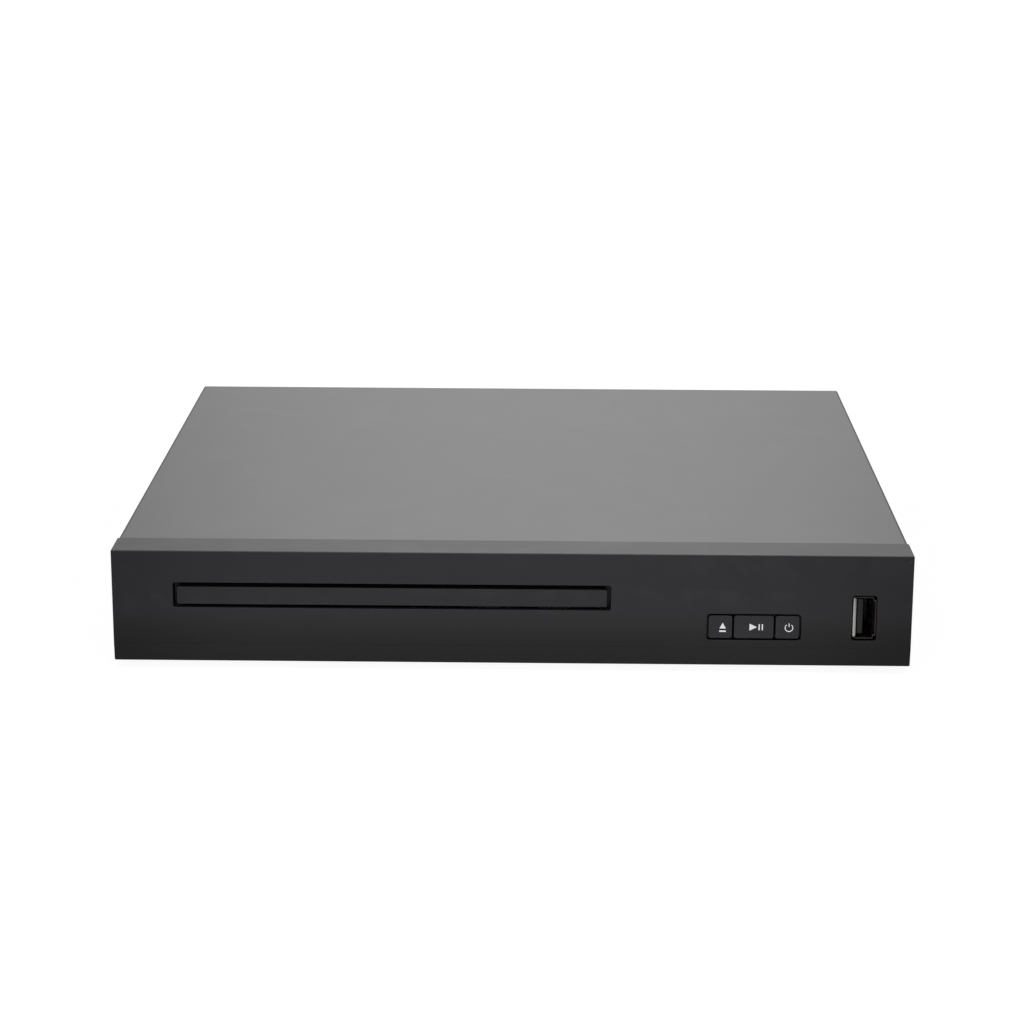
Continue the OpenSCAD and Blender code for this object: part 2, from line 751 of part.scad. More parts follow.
module loader_frame() {
    color("#333436")
    translate([tray_x, 0, 0])
    difference() {
        union() {
            // Base: front strip, side strips and back bar
            span([-loader_half, loader_y0, seat_z], [loader_half, cam_y1 + 0.5, base_top]);
            span([-loader_half, loader_y1 - 12, seat_z], [loader_half, loader_y1, base_top]);
            for (s = [-1, 1]) {
                span([min(s * 50, s * loader_half), loader_y0, seat_z],
                    [max(s * 50, s * loader_half), loader_y1, base_top]);
                // Side wall with the rail under the tray and the lips over it
                span([min(s * guide_in, s * loader_half), loader_y0, seat_z],
                    [max(s * guide_in, s * loader_half), loader_y1, tray_z1 + 1.8]);
                span([min(s * ledge_in, s * loader_half), loader_y0, tray_z0 - pass_gap - 1.5],
                    [max(s * ledge_in, s * loader_half), loader_y1, tray_z0 - pass_gap]);
                for (y = [9, 90, 148])
                    span([min(s * ledge_in, s * loader_half), y, tray_z1 + pass_gap],
                        [max(s * ledge_in, s * loader_half), y + 16, tray_z1 + 1.8]);
                // Tower that carries the clamp bridge
                span([min(s * guide_in, s * bridge_half), disc_y - 8, seat_z],
                    [max(s * guide_in, s * bridge_half), disc_y + 8, bridge_z0]);
                // Bearing for the trunnion of the moving frame
                span([min(s * (frame_half + pass_gap), s * (frame_half + 5.3)), pivot_y - 4, seat_z],
                    [max(s * (frame_half + pass_gap), s * (frame_half + 5.3)), pivot_y + 4, pivot_z + 4]);
                // Ears
                for (y = [27, 156]) {
                    disc(s * (loader_half + 4.5), y, 4, seat_z, seat_z + 2);
                    span([min(s * (loader_half - 1), s * (loader_half + 4.5)), y - 4, seat_z],
                        [max(s * (loader_half - 1), s * (loader_half + 4.5)), y + 4, seat_z + 2]);
                }
            }
            // Posts and seats of the two gears
            disc(drive_x - tray_x, drive_y, 4, base_top - eps, wheel_z0 - fit_gap);
            disc(drive_x - tray_x, drive_y, post_r, base_top - eps, post_top);
            disc(pulley_x - tray_x, pulley_y, 3, base_top - eps, wheel_z0 - 0.3);
            disc(pulley_x - tray_x, pulley_y, small_post_r, base_top - eps, post_top);
            // Shelf that the motor hangs from
            translate([motor_x - tray_x, 0, 0]) {
                span([-15.2, 10, shelf_z0], [15.2, cam_y0 - 6.6, shelf_z0 + shelf_t]);
                for (x = [-15.2, 13.2])
                    span([x, 10, base_top - eps], [x + 2, cam_y0 - 6.6, shelf_z0 + eps]);
            }
            // Guide pins of the cam slider
            for (x = guide_pin_xs)
                disc(x, guide_pin_y, 1.5, base_top - eps, cam_plate_z0 + cam_plate_t + 1);
            // Posts of the small board
            for (x = [-58, -32]) disc(x, 12, 2, base_top - eps, base_top + 3);
        }
        for (s = [-1, 1]) {
            rod_x(pivot_y, pivot_z, 2 + run_gap, min(s * 40, s * 60), max(s * 40, s * 60));
            disc(s * bridge_screw_x, disc_y, 1.1, bridge_z0 - 9, bridge_z0 + 1);
            for (y = [27, 156]) disc(s * (loader_half + 4.5), y, 1.5, seat_z - 1, seat_z + 3);
            // Narrow way in for the trunnion
            span([min(s * 48, s * 56), pivot_y - 1.6, pivot_z],
                [max(s * 48, s * 56), pivot_y + 1.6, pivot_z + 6]);
            // Windows in the side walls
            span([min(s * 60, s * 67), 92, base_top + 2], [max(s * 60, s * 67), 140, tray_z0 - 4]);
        }
        // The reduction wheel reaches through the wall
        span([guide_in - 1, drive_y - wheel_r - 2, wheel_z0 - 0.5],
            [guide_in + 9, drive_y + wheel_r + 2, wheel_z1 + 0.5]);
        // Motor in the base, its bearing and its screws in the shelf
        translate([motor_x - tray_x, motor_y, 0]) {
            disc(0, 0, motor_r + 0.5, seat_z - 1, base_top + 1);
            disc(0, 0, 3.3, shelf_z0 - 1, shelf_z0 + 3);
            for (a = [35, 215]) rotate(a) disc(8, 0, 1.2, shelf_z0 - 1, shelf_z0 + 3);
        }
        for (x = [-58, -32]) disc(x, 12, 0.8, base_top - 0.5, base_top + 4);
    }
}

module clamp_bridge() {
    color("#a9abad")
    translate([tray_x, disc_y, 0])
    difference() {
        union() {
            span([-bridge_half, -8, bridge_z0], [bridge_half, 8, bridge_z0 + bridge_t]);
            disc(0, 0, 17, bridge_z0, bridge_z0 + bridge_t);
            for (s = [-1, 1], y = [-8, 7])
                span([min(s * 18, s * 58), y, bridge_z0 + bridge_t - eps],
                    [max(s * 18, s * 58), y + 1, bridge_z0 + 3.6]);
        }
        disc(0, 0, 10, bridge_z0 - 1, bridge_z0 + 3);
        for (s = [-1, 1]) disc(s * bridge_screw_x, 0, 1.5, bridge_z0 - 1, bridge_z0 + 3);
    }
}

clamper_z0 = tray_z1 + 0.8;
clamper_neck_top = bridge_z0 + bridge_t + pass_gap;

module clamper() {
    color("#2f3032")
    translate([tray_x, disc_y, 0])
    difference() {
        union() {
            disc(0, 0, 12.5, clamper_z0, bridge_z0 - 0.6);
            disc(0, 0, 9.5, clamper_z0, clamper_neck_top);
        }
        disc(0, 0, 8, clamper_z0 - 1, clamper_z0 + 1.6);
        disc(0, 0, 6.5, clamper_z0 + 2.6, clamper_neck_top + 1);
    }
}

module clamper_magnet() {
    color("#b9bbbd") disc(tray_x, disc_y, 6.3, clamper_z0 + 2.6, clamper_neck_top - 0.5);
}

module clamper_cap() {
    color("#3a3b3d") {
        disc(tray_x, disc_y, 11.8, clamper_neck_top, clamper_neck_top + 1);
        disc(tray_x, disc_y, 6.4, clamper_neck_top - 0.5, clamper_neck_top + 0.5);
    }
}

module loading_motor() {
    color("#b4b6b7")
    translate([motor_x, motor_y, 0])
    difference() {
        union() {
            disc(0, 0, motor_r, seat_z + fit_gap, shelf_z0);
            disc(0, 0, 3.1, shelf_z0 - 1, shelf_z0 + 1.2);
        }
        disc(0, 0, 1 + run_gap, shelf_z0 - 6, shelf_z0 + 2);
        for (a = [35, 215]) rotate(a) disc(8, 0, 0.9, shelf_z0 - 2.4, shelf_z0 + 1);
    }
}

// Pulley between two heights with a groove for the belt
module grooved(r, z0, z1, groove_bottom) {
    mid = (z0 + z1) / 2;
    half = belt_t / 2 + 0.3;
    disc(0, 0, r, z0, mid - half);
    disc(0, 0, groove_bottom, z0, z1);
    disc(0, 0, r, mid + half, z1);
}

module motor_pulley() {
    translate([motor_x, motor_y, 0]) {
        color("#cfa95a")
            grooved(motor_pulley_r + 0.7, pulley_z0, pulley_z1, motor_pulley_r - belt_t / 2 - 0.1);
        color("#c8c8c8") disc(0, 0, 1, shelf_z0 - 5.6, pulley_z1 - 0.2);
    }
}

module pulley_gear() {
    color("#e8e6df")
    translate([pulley_x, pulley_y, 0])
    difference() {
        union() {
            along_z(wheel_z0 - 0.2, wheel_z1 + 0.6) gear(wheel_module, small_teeth, 180 / small_teeth);
            disc(0, 0, small_r - 1, wheel_z1, pulley_z0 + eps);
            grooved(pulley_r + 0.6, pulley_z0, pulley_z1, pulley_r - belt_t / 2 - 0.1);
        }
        disc(0, 0, small_post_r + run_gap, wheel_z0 - 1, pulley_z1 + 1);
        for (a = [0:60:300]) rotate(a) disc(7.2, 0, 1.8, pulley_z0 - 1, pulley_z1 + 1);
    }
}

module drive_gear() {
    color("#efede6")
    translate([drive_x, drive_y, 0])
    difference() {
        union() {
            along_z(wheel_z0, wheel_z1) gear(wheel_module, wheel_teeth, 180);
            disc(0, 0, pinion_r - 1.1, wheel_z1 - 0.5, wheel_z1 + 0.6);
            along_z(wheel_z1 + 0.5, post_top - 0.1) gear(rack_module, pinion_teeth, 0);
        }
        disc(0, 0, post_r + run_gap, wheel_z0 - 1, post_top + 1);
        // Thin web of the wheel
        ring(0, 0, wheel_r - 2.6, pinion_r + 1.6, wheel_z0 + 2, wheel_z1 + 1);
    }
}

// Outline of the belt round both pulleys, grown by g
module belt_outline(g) {
    hull() {
        translate([motor_x, motor_y]) circle(r = motor_pulley_r + g);
        translate([pulley_x, pulley_y]) circle(r = pulley_r + g);
    }
}

module loading_belt() {
    mid = (pulley_z0 + pulley_z1) / 2;
    color("#161616")
    along_z(mid - belt_t / 2, mid + belt_t / 2)
    difference() {
        belt_outline(belt_t / 2);
        belt_outline(-belt_t / 2);
    }
}

cam_x0 = -20;
cam_x1 = 42;

// Slot that the boss climbs when the slider moves, drawn in x and z
module cam_slot(x) {
    angle = atan(boss_drop / cam_travel);
    run = cam_travel / cos(angle);
    translate([x + cam_travel / 2, boss_z - boss_drop / 2]) rotate(-angle)
        slot_shape(run + 2 * boss_r + 0.5, boss_r + 0.17);
}

module cam_slider() {
    color("#e4e1d6")
    translate([tray_x, 0, 0])
    difference() {
        union() {
            span([cam_x0, cam_y0, cam_z0 + 0.2], [cam_x1, cam_y1, tray_z0 - 1.2]);
            span([cam_x0, cam_y0 - 6.2, cam_plate_z0], [cam_x1, cam_y0 + eps, cam_plate_z0 + cam_plate_t]);
            // Toothed arm that the pinion takes over when the tray is home, drawn clear of its tips
            translate([0, drive_y + pinion_r + stub * rack_module + 1.6, 0])
                along_z(cam_plate_z0, cam_plate_z0 + cam_plate_t)
                    rotate(90) translate([0, -52])
                        rack(rack_module, 1, 22, 4, 12);
        }
        along_y(cam_y0 - 1, cam_y1 + 1) for (x = boss_xs) cam_slot(x);
        for (x = guide_pin_xs)
            along_z(cam_plate_z0 - 1, cam_plate_z0 + 3)
                translate([x + cam_travel / 2, guide_pin_y]) slot_shape(cam_travel + 3 + 0.8, 1.5 + 0.3);
    }
}

// Moving frame, deck, spindle and pickup, which all tilt together

module traverse_frame() {
    rail = frame_half - frame_in;
    color("#3a3c3e")
    translate([tray_x, 0, 0])
    difference() {
        union() {
            span([-frame_half, frame_y0, frame_z0], [frame_half, frame_y0 + 5, frame_z1]);
            span([-frame_half, frame_y1 - 5, frame_z0], [frame_half, frame_y1, frame_z1]);
            for (s = [-1, 1]) {
                // Side rail, deeper towards the trunnion
                translate([s * (frame_half - rail / 2), 0, 0])
                    along_x(-rail / 2, rail / 2)
                        polygon([
                            [frame_y0, frame_z0], [pivot_y - 8, frame_z0 - 4.4], [frame_y1, frame_z0 - 2.4],
                            [frame_y1, frame_z1], [frame_y0, frame_z1]
                        ]);
                rod_x(pivot_y, pivot_z, 2, min(s * (frame_half - 1), s * (frame_half + 4.6)),
                    max(s * (frame_half - 1), s * (frame_half + 4.6)));
                // Corner pads that carry the rubber dampers
                for (y = damper_ys)
                    span([min(s * (damper_x - 4), s * frame_half), y - 5, frame_z0],
                        [max(s * (damper_x - 4), s * frame_half), y + 5, deck_z0 - 1.5]);
                span([min(s * (damper_x - 4), s * frame_half), frame_y0, frame_z0],
                    [max(s * (damper_x - 4), s * frame_half), damper_ys[0], deck_z0 - 1.5]);
                span([min(s * (damper_x - 4), s * frame_half), damper_ys[1], frame_z0],
                    [max(s * (damper_x - 4), s * frame_half), frame_y1, deck_z0 - 1.5]);
            }
            // Bosses that ride in the cam slider
            for (x = boss_xs) rod_y(x, boss_z, boss_r, cam_y0 - 0.3, frame_y0 + 1);
        }
        for (s = [-1, 1], y = damper_ys) disc(s * damper_x, y, 1.1, frame_z0 - 1, deck_z0);
    }
}

module traverse_dampers() {
    color("#26231f")
    translate([tray_x, 0, 0])
    for (s = [-1, 1], y = damper_ys)
        translate([s * damper_x, y, deck_z0 - 1.5])
            rotate_extrude()
                polygon([
                    [1.6, 0], [4, 0], [4, 1.5], [3, 1.5], [3, 1.5 + deck_t], [4, 1.5 + deck_t],
                    [4, 3 + deck_t], [1.6, 3 + deck_t]
                ]);
}

module traverse_screws() {
    color("#8d8f91")
    translate([tray_x, 0, 0])
    for (s = [-1, 1], y = damper_ys)
        translate([s * damper_x, y, deck_z1 + 1.5]) pan_screw(1.05, 3, 1.3, deck_z1 + 1.5 - frame_z0);
}

module traverse_deck() {
    block_z = rod_z + rod_r + 0.7;
    color("#4a4c4e")
    translate([tray_x, 0, 0])
    difference() {
        union() {
            difference() {
                span([-deck_half, deck_y0, deck_z0], [deck_half, deck_y1, deck_z1]);
                span([-31, rod_y0 + 2, deck_z0 - 1], [31, rod_y1 - 2, deck_z1 + 1]);
                disc(0, disc_y, 3.2, deck_z0 - 1, deck_z1 + 1);
            }
            for (s = [-1, 1]) {
                for (y = [rod_y0 - 1.5, rod_y1 - 2])
                    span([min(s * 22, s * 26.8), y, deck_z1 - eps],
                        [max(s * 22, s * 26.8), y + 3.5, block_z]);
                // Stiffening rib along each edge
                span([min(s * (deck_half - 1.2), s * deck_half), damper_ys[0] + 5, deck_z1 - eps],
                    [max(s * (deck_half - 1.2), s * deck_half), sled_y - 12, deck_z1 + 1.6]);
            }
            disc(sled_x, sled_y, 1, deck_z1 - eps, deck_z1 + 4.4);
        }
        for (s = [-1, 1]) {
            rod_y(s * rod_x, rod_z, rod_r + 0.02, rod_y0, rod_y1);
            for (y = damper_ys) disc(s * damper_x, y, 3.1, deck_z0 - 1, deck_z1 + 1);
        }
        disc(sled_x, sled_motor_y, 2, deck_z0 - 1, deck_z1 + 1);
        for (a = [45, 135, 225, 315])
            translate([0, disc_y]) rotate(a) disc(14, 0, 0.9, deck_z0 - 1, deck_z1 + 1);
    }
}

module guide_rods() {
    color("#d2d3d4")
    translate([tray_x, 0, 0])
    for (s = [-1, 1]) rod_y(s * rod_x, rod_z, rod_r, rod_y0 + 0.1, rod_y1 - 0.1);
}

stator_z1 = disc_seat - 4.7;

module spindle_motor() {
    color("#5b5d50")
    translate([tray_x, disc_y, 0])
    difference() {
        union() {
            span([-15, -12.5, deck_z1], [15, 12.5, deck_z1 + 0.8]);
            disc(0, 0, 3, deck_z0 - 1.5, stator_z1 + 0.3);
            disc(0, 0, 10.9, deck_z1 + 1.6, stator_z1);
        }
        disc(0, 0, 1 + run_gap, deck_z0 - 0.6, stator_z1 + 1);
        for (a = [0:40:320]) rotate(a) span([8, -0.5, deck_z1 + 1], [12, 0.5, stator_z1 + 1]);
    }
}

module spindle_rotor() {
    color("#c4c5c6")
    translate([tray_x, disc_y, 0]) {
        difference() {
            disc(0, 0, rotor_r, deck_z1 + 2, disc_seat - 3);
            disc(0, 0, rotor_r - 0.9, deck_z1 + 1, disc_seat - 3.8);
        }
        disc(0, 0, 1, deck_z0 - 0.5, disc_seat + 1.4);
    }
}

module turntable() {
    color("#232426")
    translate([tray_x, disc_y, 0])
    difference() {
        union() {
            disc(0, 0, 15, disc_seat - 3, disc_seat - 0.2);
            disc(0, 0, cone_r, disc_seat - 1, disc_seat + 0.9);
            translate([0, 0, disc_seat + 0.9]) cylinder(r1 = cone_r, r2 = 5, h = 1.2);
        }
        ring(0, 0, 14.5, 9.5, disc_seat - 0.7, disc_seat + 1);
        disc(0, 0, 1.02, disc_seat - 4, disc_seat + 1.5);
    }
}

module turntable_mat() {
    color("#101011") ring(tray_x, disc_y, 14.4, 9.6, disc_seat - 0.7, disc_seat);
}

pickup_z0 = rod_z - 4.4;
pickup_z1 = rod_z + 2.7;

module optical_pickup() {
    color("#6a6c6d")
    translate([tray_x, 0, 0])
    difference() {
        union() {
            span([-22, pickup_y0, pickup_z0], [22, pickup_y1, pickup_z1]);
            for (s = [-1, 1]) rod_y(s * rod_x, rod_z, 2.9, pickup_y0, pickup_y1);
            // Rack beside the right rod
            mirror([1, 0, 0]) translate([-sled_rack_x, 0, 0])
                along_z(deck_z1 + 0.4, deck_z1 + 2.4)
                    rack(sled_module, sled_y - pickup_travel - 4, sled_y + 4, sled_rack_x - rod_x - 2.5,
                        sled_y + PI * sled_module / 2);
            // Lens turret
            span([-9.5, lens_y - 7, pickup_z1 - eps], [9.5, lens_y + 7, pickup_z1 + 2.6]);
            // Ribbon socket underneath
            span([-9, pickup_y1 - 6, pickup_z0 - 1.2], [9, pickup_y1 - 1, pickup_z0 + eps]);
        }
        for (s = [-1, 1]) rod_y(s * rod_x, rod_z, rod_r + run_gap, pickup_y0 - 1, pickup_y1 + 1);
        span([-6.2, lens_y - 4.7, pickup_z1 - 2], [6.2, lens_y + 4.7, pickup_z1 + 3]);
        span([-14, pickup_y1 - 9, pickup_z1 - 1.6], [14, pickup_y1 - 2, pickup_z1 + 1]);
    }
}

// Lens in its small holder, which floats in the turret
module objective_lens() {
    z0 = pickup_z1 + 0.6;
    translate([tray_x, lens_y, 0]) {
        color("#1f1f21")
        difference() {
            span([-5.5, -4, z0], [5.5, 4, z0 + 2.2]);
            disc(0, 0, 2.6, z0 - 1, z0 + 3);
        }
        color("#9fb4c8")
        intersection() {
            disc(0, 0, 2.58, z0 + 0.4, z0 + 3);
            translate([0, 0, z0 - 3.4]) sphere(r = 6.2);
        }
    }
}

module sled_motor() {
    color("#b4b6b7")
    translate([tray_x + sled_x, sled_motor_y, 0])
    difference() {
        union() {
            disc(0, 0, 7, deck_z0 - 6.2, deck_z0);
            disc(0, 0, 1.8, deck_z0 - 1, deck_z0 + 1);
        }
        disc(0, 0, 0.75 + run_gap, deck_z0 - 5, deck_z0 + 2);
    }
}

sled_wheel_z0 = deck_z1 + 2.7;
sled_wheel_z1 = sled_wheel_z0 + 1.4;

module sled_pinion() {
    color("#cfa95a")
    translate([tray_x + sled_x, sled_motor_y, 0]) {
        along_z(sled_wheel_z0 - 0.1, sled_wheel_z1 + 0.1) gear(sled_module, 10, 288);
        disc(0, 0, 0.75, deck_z0 - 4.8, sled_wheel_z1);
    }
}

module sled_gear() {
    color("#efede6")
    translate([tray_x + sled_x, sled_y, 0])
    difference() {
        union() {
            along_z(deck_z1 + 0.2, sled_wheel_z0 + eps) gear(sled_module, 12, 180);
            along_z(sled_wheel_z0, sled_wheel_z1) gear(sled_module, 30, 90);
        }
        disc(0, 0, 1 + run_gap, deck_z1, sled_wheel_z1 + 1);
    }
}

// Boards and sockets

function board_seats() = [
    for (x = [main_x0 + 3.5, main_x1 - 4], y = [main_y0 + 4, main_y1 - 5]) [x, y],
    for (x = [power_x0 + 4, power_x1 - 4], y = [power_y0 + 4, power_y1 - 6]) [x, y]
];

// Points on both sides of a path, which make a strip of thickness t
function unit(v) = v / norm(v);
function heading(p, i) =
    let (
        a = i > 0 ? unit(p[i] - p[i - 1]) : unit(p[1] - p[0]),
        b = i < len(p) - 1 ? unit(p[i + 1] - p[i]) : a
    )
    unit(a + b) / max(0.4, a * unit(a + b));
function strip(p, t) = concat(
    [for (i = [0:len(p) - 1]) let (d = heading(p, i)) p[i] + [-d[1], d[0]] * t / 2],
    [for (i = [len(p) - 1:-1:0]) let (d = heading(p, i)) p[i] - [-d[1], d[0]] * t / 2]
);
function arc(centre, r, a0, a1, steps) =
    [for (i = [0:steps]) let (a = a0 + (a1 - a0) * i / steps) centre + r * [cos(a), sin(a)]];

module main_board() {
    color("#2f5a3c")
    difference() {
        span([main_x0, main_y0, board_z0], [main_x1, main_y1, board_z1]);
        for (p = board_seats()) disc(p[0], p[1], 1.6, board_z0 - 1, board_z1 + 1);
    }
    color("#e6e2d6") {
        span([tray_x - 10, main_y0 + 2, board_z1], [tray_x + 10, main_y0 + 6.5, board_z1 + 2.6]);
        span([main_x1 - 9, main_y0 + 12, board_z1], [main_x1 - 4, main_y0 + 24, board_z1 + 6]);
        span([main_x1 - 9, main_y0 + 27, board_z1], [main_x1 - 4, main_y0 + 37, board_z1 + 6]);
    }
}

// Chip with a row of legs along each side
module chip(x, y, size, legs, height) {
    color("#1a1a1c")
        translate([x, y, board_z1]) span([-size / 2, -size / 2, 0.1], [size / 2, size / 2, height]);
    color("#b9bbbd")
    for (a = [0:90:270])
        translate([x, y, 0]) rotate(a)
            for (i = [0:legs - 1])
                translate([(i - (legs - 1) / 2) * size * 0.9 / legs, size / 2, 0])
                    span([-0.2, -0.3, board_z1], [0.2, 1.2, board_z1 + 0.5]);
}

module main_chips() {
    chip(tray_x - 2, main_y0 + 22, 20, 14, 1.8);
    chip(tray_x + 26, main_y0 + 17, 9, 7, 1.6);
    chip(tray_x - 32, main_y0 + 15, 8, 6, 1.6);
}

module capacitors() {
    color("#22242c") {
        for (x = [-62, -52, -42]) disc(tray_x + x, main_y0 + 10, 3.1, board_z1, board_z1 + 9);
        for (y = [main_y0 + 10, main_y0 + 20]) disc(tray_x + 40, y, 4, board_z1, board_z1 + 10);
        disc(power_x1 - 14, power_y0 + 62, 8, board_z1, board_z1 + 20);
        for (y = [power_y0 + 12, power_y0 + 26]) disc(power_x0 + 10, y, 5, board_z1, board_z1 + 14);
    }
}

// The same small screw holds the boards, the loader, its motor and the clamp bridge
// Screws of the loader and the boards, and the spacers under the two big boards
module inner_fixings() {
    color("#8d8f91") {
        for (p = board_seats()) ring(p[0], p[1], 3, 1.2, floor_z, board_z0);
        for (p = board_seats()) translate([p[0], p[1], board_z1]) pan_screw(1.15, 2.5, 1.6, 5);
        for (p = loader_seats()) translate([p[0], p[1], seat_z + 2]) pan_screw(1.15, 2.5, 1.6, 3);
        for (s = [-1, 1])
            translate([tray_x + s * bridge_screw_x, disc_y, bridge_z0 + bridge_t])
                pan_screw(1.05, 2.5, 1.6, 6);
        for (a = [35, 215])
            translate([motor_x, motor_y, shelf_z0 + shelf_t]) rotate(a) translate([8, 0, 0])
                pan_screw(0.85, 1.8, 0.9, 2.8);
        for (p = front_board_posts())
            translate([p[0], fboard_y0 + board_t, p[1]]) rotate([-90, 0, 0]) pan_screw(1.05, 2.5, 1.4, 6);
        for (x = low_board_screw_xs)
            translate([tray_x + x, 12, base_top + 4.2]) pan_screw(0.75, 1.8, 0.9, 3);
    }
}

module hdmi_socket() {
    z = board_z1 + 3.1;
    y1 = wall_back - 0.1;
    color("#c3c4c2")
    translate([hdmi_x, 0, 0])
    difference() {
        along_y(y1 - 11, y1) translate([0, z]) round_rect(15, 5.8, 0.4);
        along_y(y1 - 9.6, y1 + 1) translate([0, z])
            polygon([
                [-7.1, 2.3], [7.1, 2.3], [7.1, -0.7], [5.5, -2.3], [-5.5, -2.3], [-7.1, -0.7]
            ]);
    }
    color("#1b1b1c") translate([hdmi_x, 0, 0]) span([-6.2, y1 - 9.7, z - 0.3], [6.2, y1 - 1.6, z + 0.6]);
}

phono_y0 = wall_front - 12;
phono_face = wall_front - 0.2;
jack_tip = total_d;
core_r = 2.6;
contact_r = 1.6;

// Plastic block on the board, with a core in each jack and a hole for the plug's pin
module phono_block() {
    color("#1d1d1f")
    difference() {
        union() {
            for (g = [[0, 2], [3, 3]])
                span([jack_xs[g[0]] - 6.4, phono_y0, board_z1],
                    [jack_xs[g[1]] + 6.4, phono_face, jack_z + 6.2]);
            for (x = jack_xs) rod_y(x, jack_z, core_r, phono_face - 1, jack_tip - 1);
        }
        for (x = jack_xs) rod_y(x, jack_z, contact_r, jack_tip - 8.5, jack_tip + 1);
    }
}

// Metal sleeve of each jack; the plug's shield slides over it
module phono_sleeves() {
    color("#c9cacb")
    for (x = jack_xs)
        difference() {
            rod_y(x, jack_z, jack_r, phono_face, jack_tip);
            rod_y(x, jack_z, core_r + 0.02, phono_face - 1, jack_tip - 4);
            rod_y(x, jack_z, jack_r - 0.5, jack_tip - 6, jack_tip + 1);
        }
}

module power_board() {
    color("#a9824f")
    difference() {
        span([power_x0, power_y0, board_z0], [power_x1, power_y1, board_z1]);
        for (p = board_seats()) disc(p[0], p[1], 1.6, board_z0 - 1, board_z1 + 1);
    }
    color("#e6e2d6")
    span([power_x0 + 1, power_y0 + 92, board_z1], [power_x0 + 6, power_y0 + 106, board_z1 + 6]);
}

module transformer() {
    x = power_x0 + 30;
    y = power_y0 + 44;
    color("#c9a53d") span([x - 9, y - 11, board_z1 + 3], [x + 9, y + 11, board_z1 + 15]);
    color("#3c3a38") {
        for (s = [-1, 1])
            translate([x, y + s * 11.6, 0]) span([-10, -0.6, board_z1 + 2], [10, 0.6, board_z1 + 16]);
        span([x - 12, y - 4.5, board_z1 + 15], [x + 12, y + 4.5, board_z1 + 19]);
        for (s = [-1, 1])
            translate([x + s * 10.5, y, 0]) span([-1.5, -4.5, board_z1 + 2.5], [1.5, 4.5, board_z1 + 15.1]);
        span([x - 12, y - 12, board_z1], [x + 12, y + 12, board_z1 + 3]);
    }
}

module heat_sink() {
    x = power_x0 + 30;
    y = power_y0 + 18;
    color("#a5a7a9")
    difference() {
        span([x - 12, y - 2, board_z1], [x + 12, y + 8, board_z1 + 16]);
        for (i = [0:4])
            span([x - 10.4 + i * 4.4, y, board_z1 + 1], [x - 7.2 + i * 4.4, y + 9, board_z1 + 17]);
    }
}

// Fuse, choke and filter capacitor between the inlet and the rectifier
module filter_parts() {
    x = inlet_x;
    color("#c8882c") span([x - 24, power_y0 + 76, board_z1], [x - 17, power_y0 + 94, board_z1 + 14]);
    color("#d8d5c8") rod_x(power_y0 + 88, board_z1 + 3, 2.6, x + 2, x + 20);
    color("#2c2c2e") disc(x - 4, power_y0 + 80, 8, board_z1, board_z1 + 12);
}

inlet_depth = 20;
inlet_bore_h = 8.4;
inlet_pin_x = 4.3;

// Figure-eight mains inlet: a block with a flange inside the back wall
module mains_inlet() {
    y1 = wall_back + 0.6;
    color("#18181a")
    difference() {
        union() {
            along_y(y1 - inlet_depth, y1) translate([inlet_x, inlet_z]) round_rect(24, 14, 1.2);
            span([inlet_x - 13.4, wall_front - 2, board_z1],
                [inlet_x + 13.4, wall_front - 0.1, inlet_z + 8]);
        }
        along_y(y1 - 12, y1 + 1) translate([inlet_x, inlet_z]) slot_shape(16.2, inlet_bore_h / 2);
        for (s = [-1, 1]) rod_y(inlet_x + s * inlet_pin_x, inlet_z, 1.22, y1 - 16, y1 - 11);
    }
}

module inlet_pins() {
    y1 = wall_back + 0.6;
    color("#d9d6cc")
    for (s = [-1, 1]) rod_y(inlet_x + s * inlet_pin_x, inlet_z, 1.2, y1 - 15.8, y1 - 2.5);
}

// Flat cable on edge, from the front board to the main board
module front_ribbon() {
    x0 = fboard_x0 + 21;
    y0 = fboard_y0 + board_t + 3;
    lane = power_x0 - 5;
    color("#d9d7cf")
    along_z(ribbon_z0, ribbon_z1)
        polygon(strip([
            [x0, y0], [x0, y0 + 3], [x0 - 2, y0 + 6], [lane + 3, y0 + 12], [lane, y0 + 18],
            [lane, main_y0 + 4],
            [lane - 2, main_y0 + 13], [lane - 7, main_y0 + 18], [main_x1 - 4, main_y0 + 18]
        ], 0.35));
}

// Flat cable that rolls under the pickup as it travels
module pickup_ribbon() {
    low = base_top + 2;
    high = pickup_z0 - 0.6;
    bend = (high - low) / 2;
    turn_y = pickup_y0 + 14;
    color("#d9d7cf")
    translate([tray_x, 0, 0])
    along_x(-8, 8)
        polygon(strip(concat(
            [[main_y0 + 2, board_z1 + 1.3], [main_y0 + 0.6, board_z1 + 1.3], [main_y0 - 2, board_z1 + 0.4],
                [main_y0 - 5, low + 0.4], [main_y0 - 8, low]],
            arc([turn_y, low + bend], bend, 270, 90, 10),
            [[pickup_y1 - 6, high]]
        ), 0.25));
}

// Wires from the power board to the main board, each on its own level
module power_wires() {
    x0 = main_x1 - 4;
    x1 = power_x0 + 1;
    y0 = main_y0 + 32;
    y1 = power_y0 + 99;
    colors = ["#b3261e", "#222222", "#d9b92b", "#e8e8e8"];
    for (i = [0:3])
        color(colors[i]) wire([for (k = [0:12]) let (t = k / 12)
            [x0 + (x1 - x0) * t, y0 + (i - 1.5) * 2 + (y1 - y0) * (t * t * (3 - 2 * t)),
                board_z1 + 4 - 2.2 * sin(180 * t)]], 0.65);
}

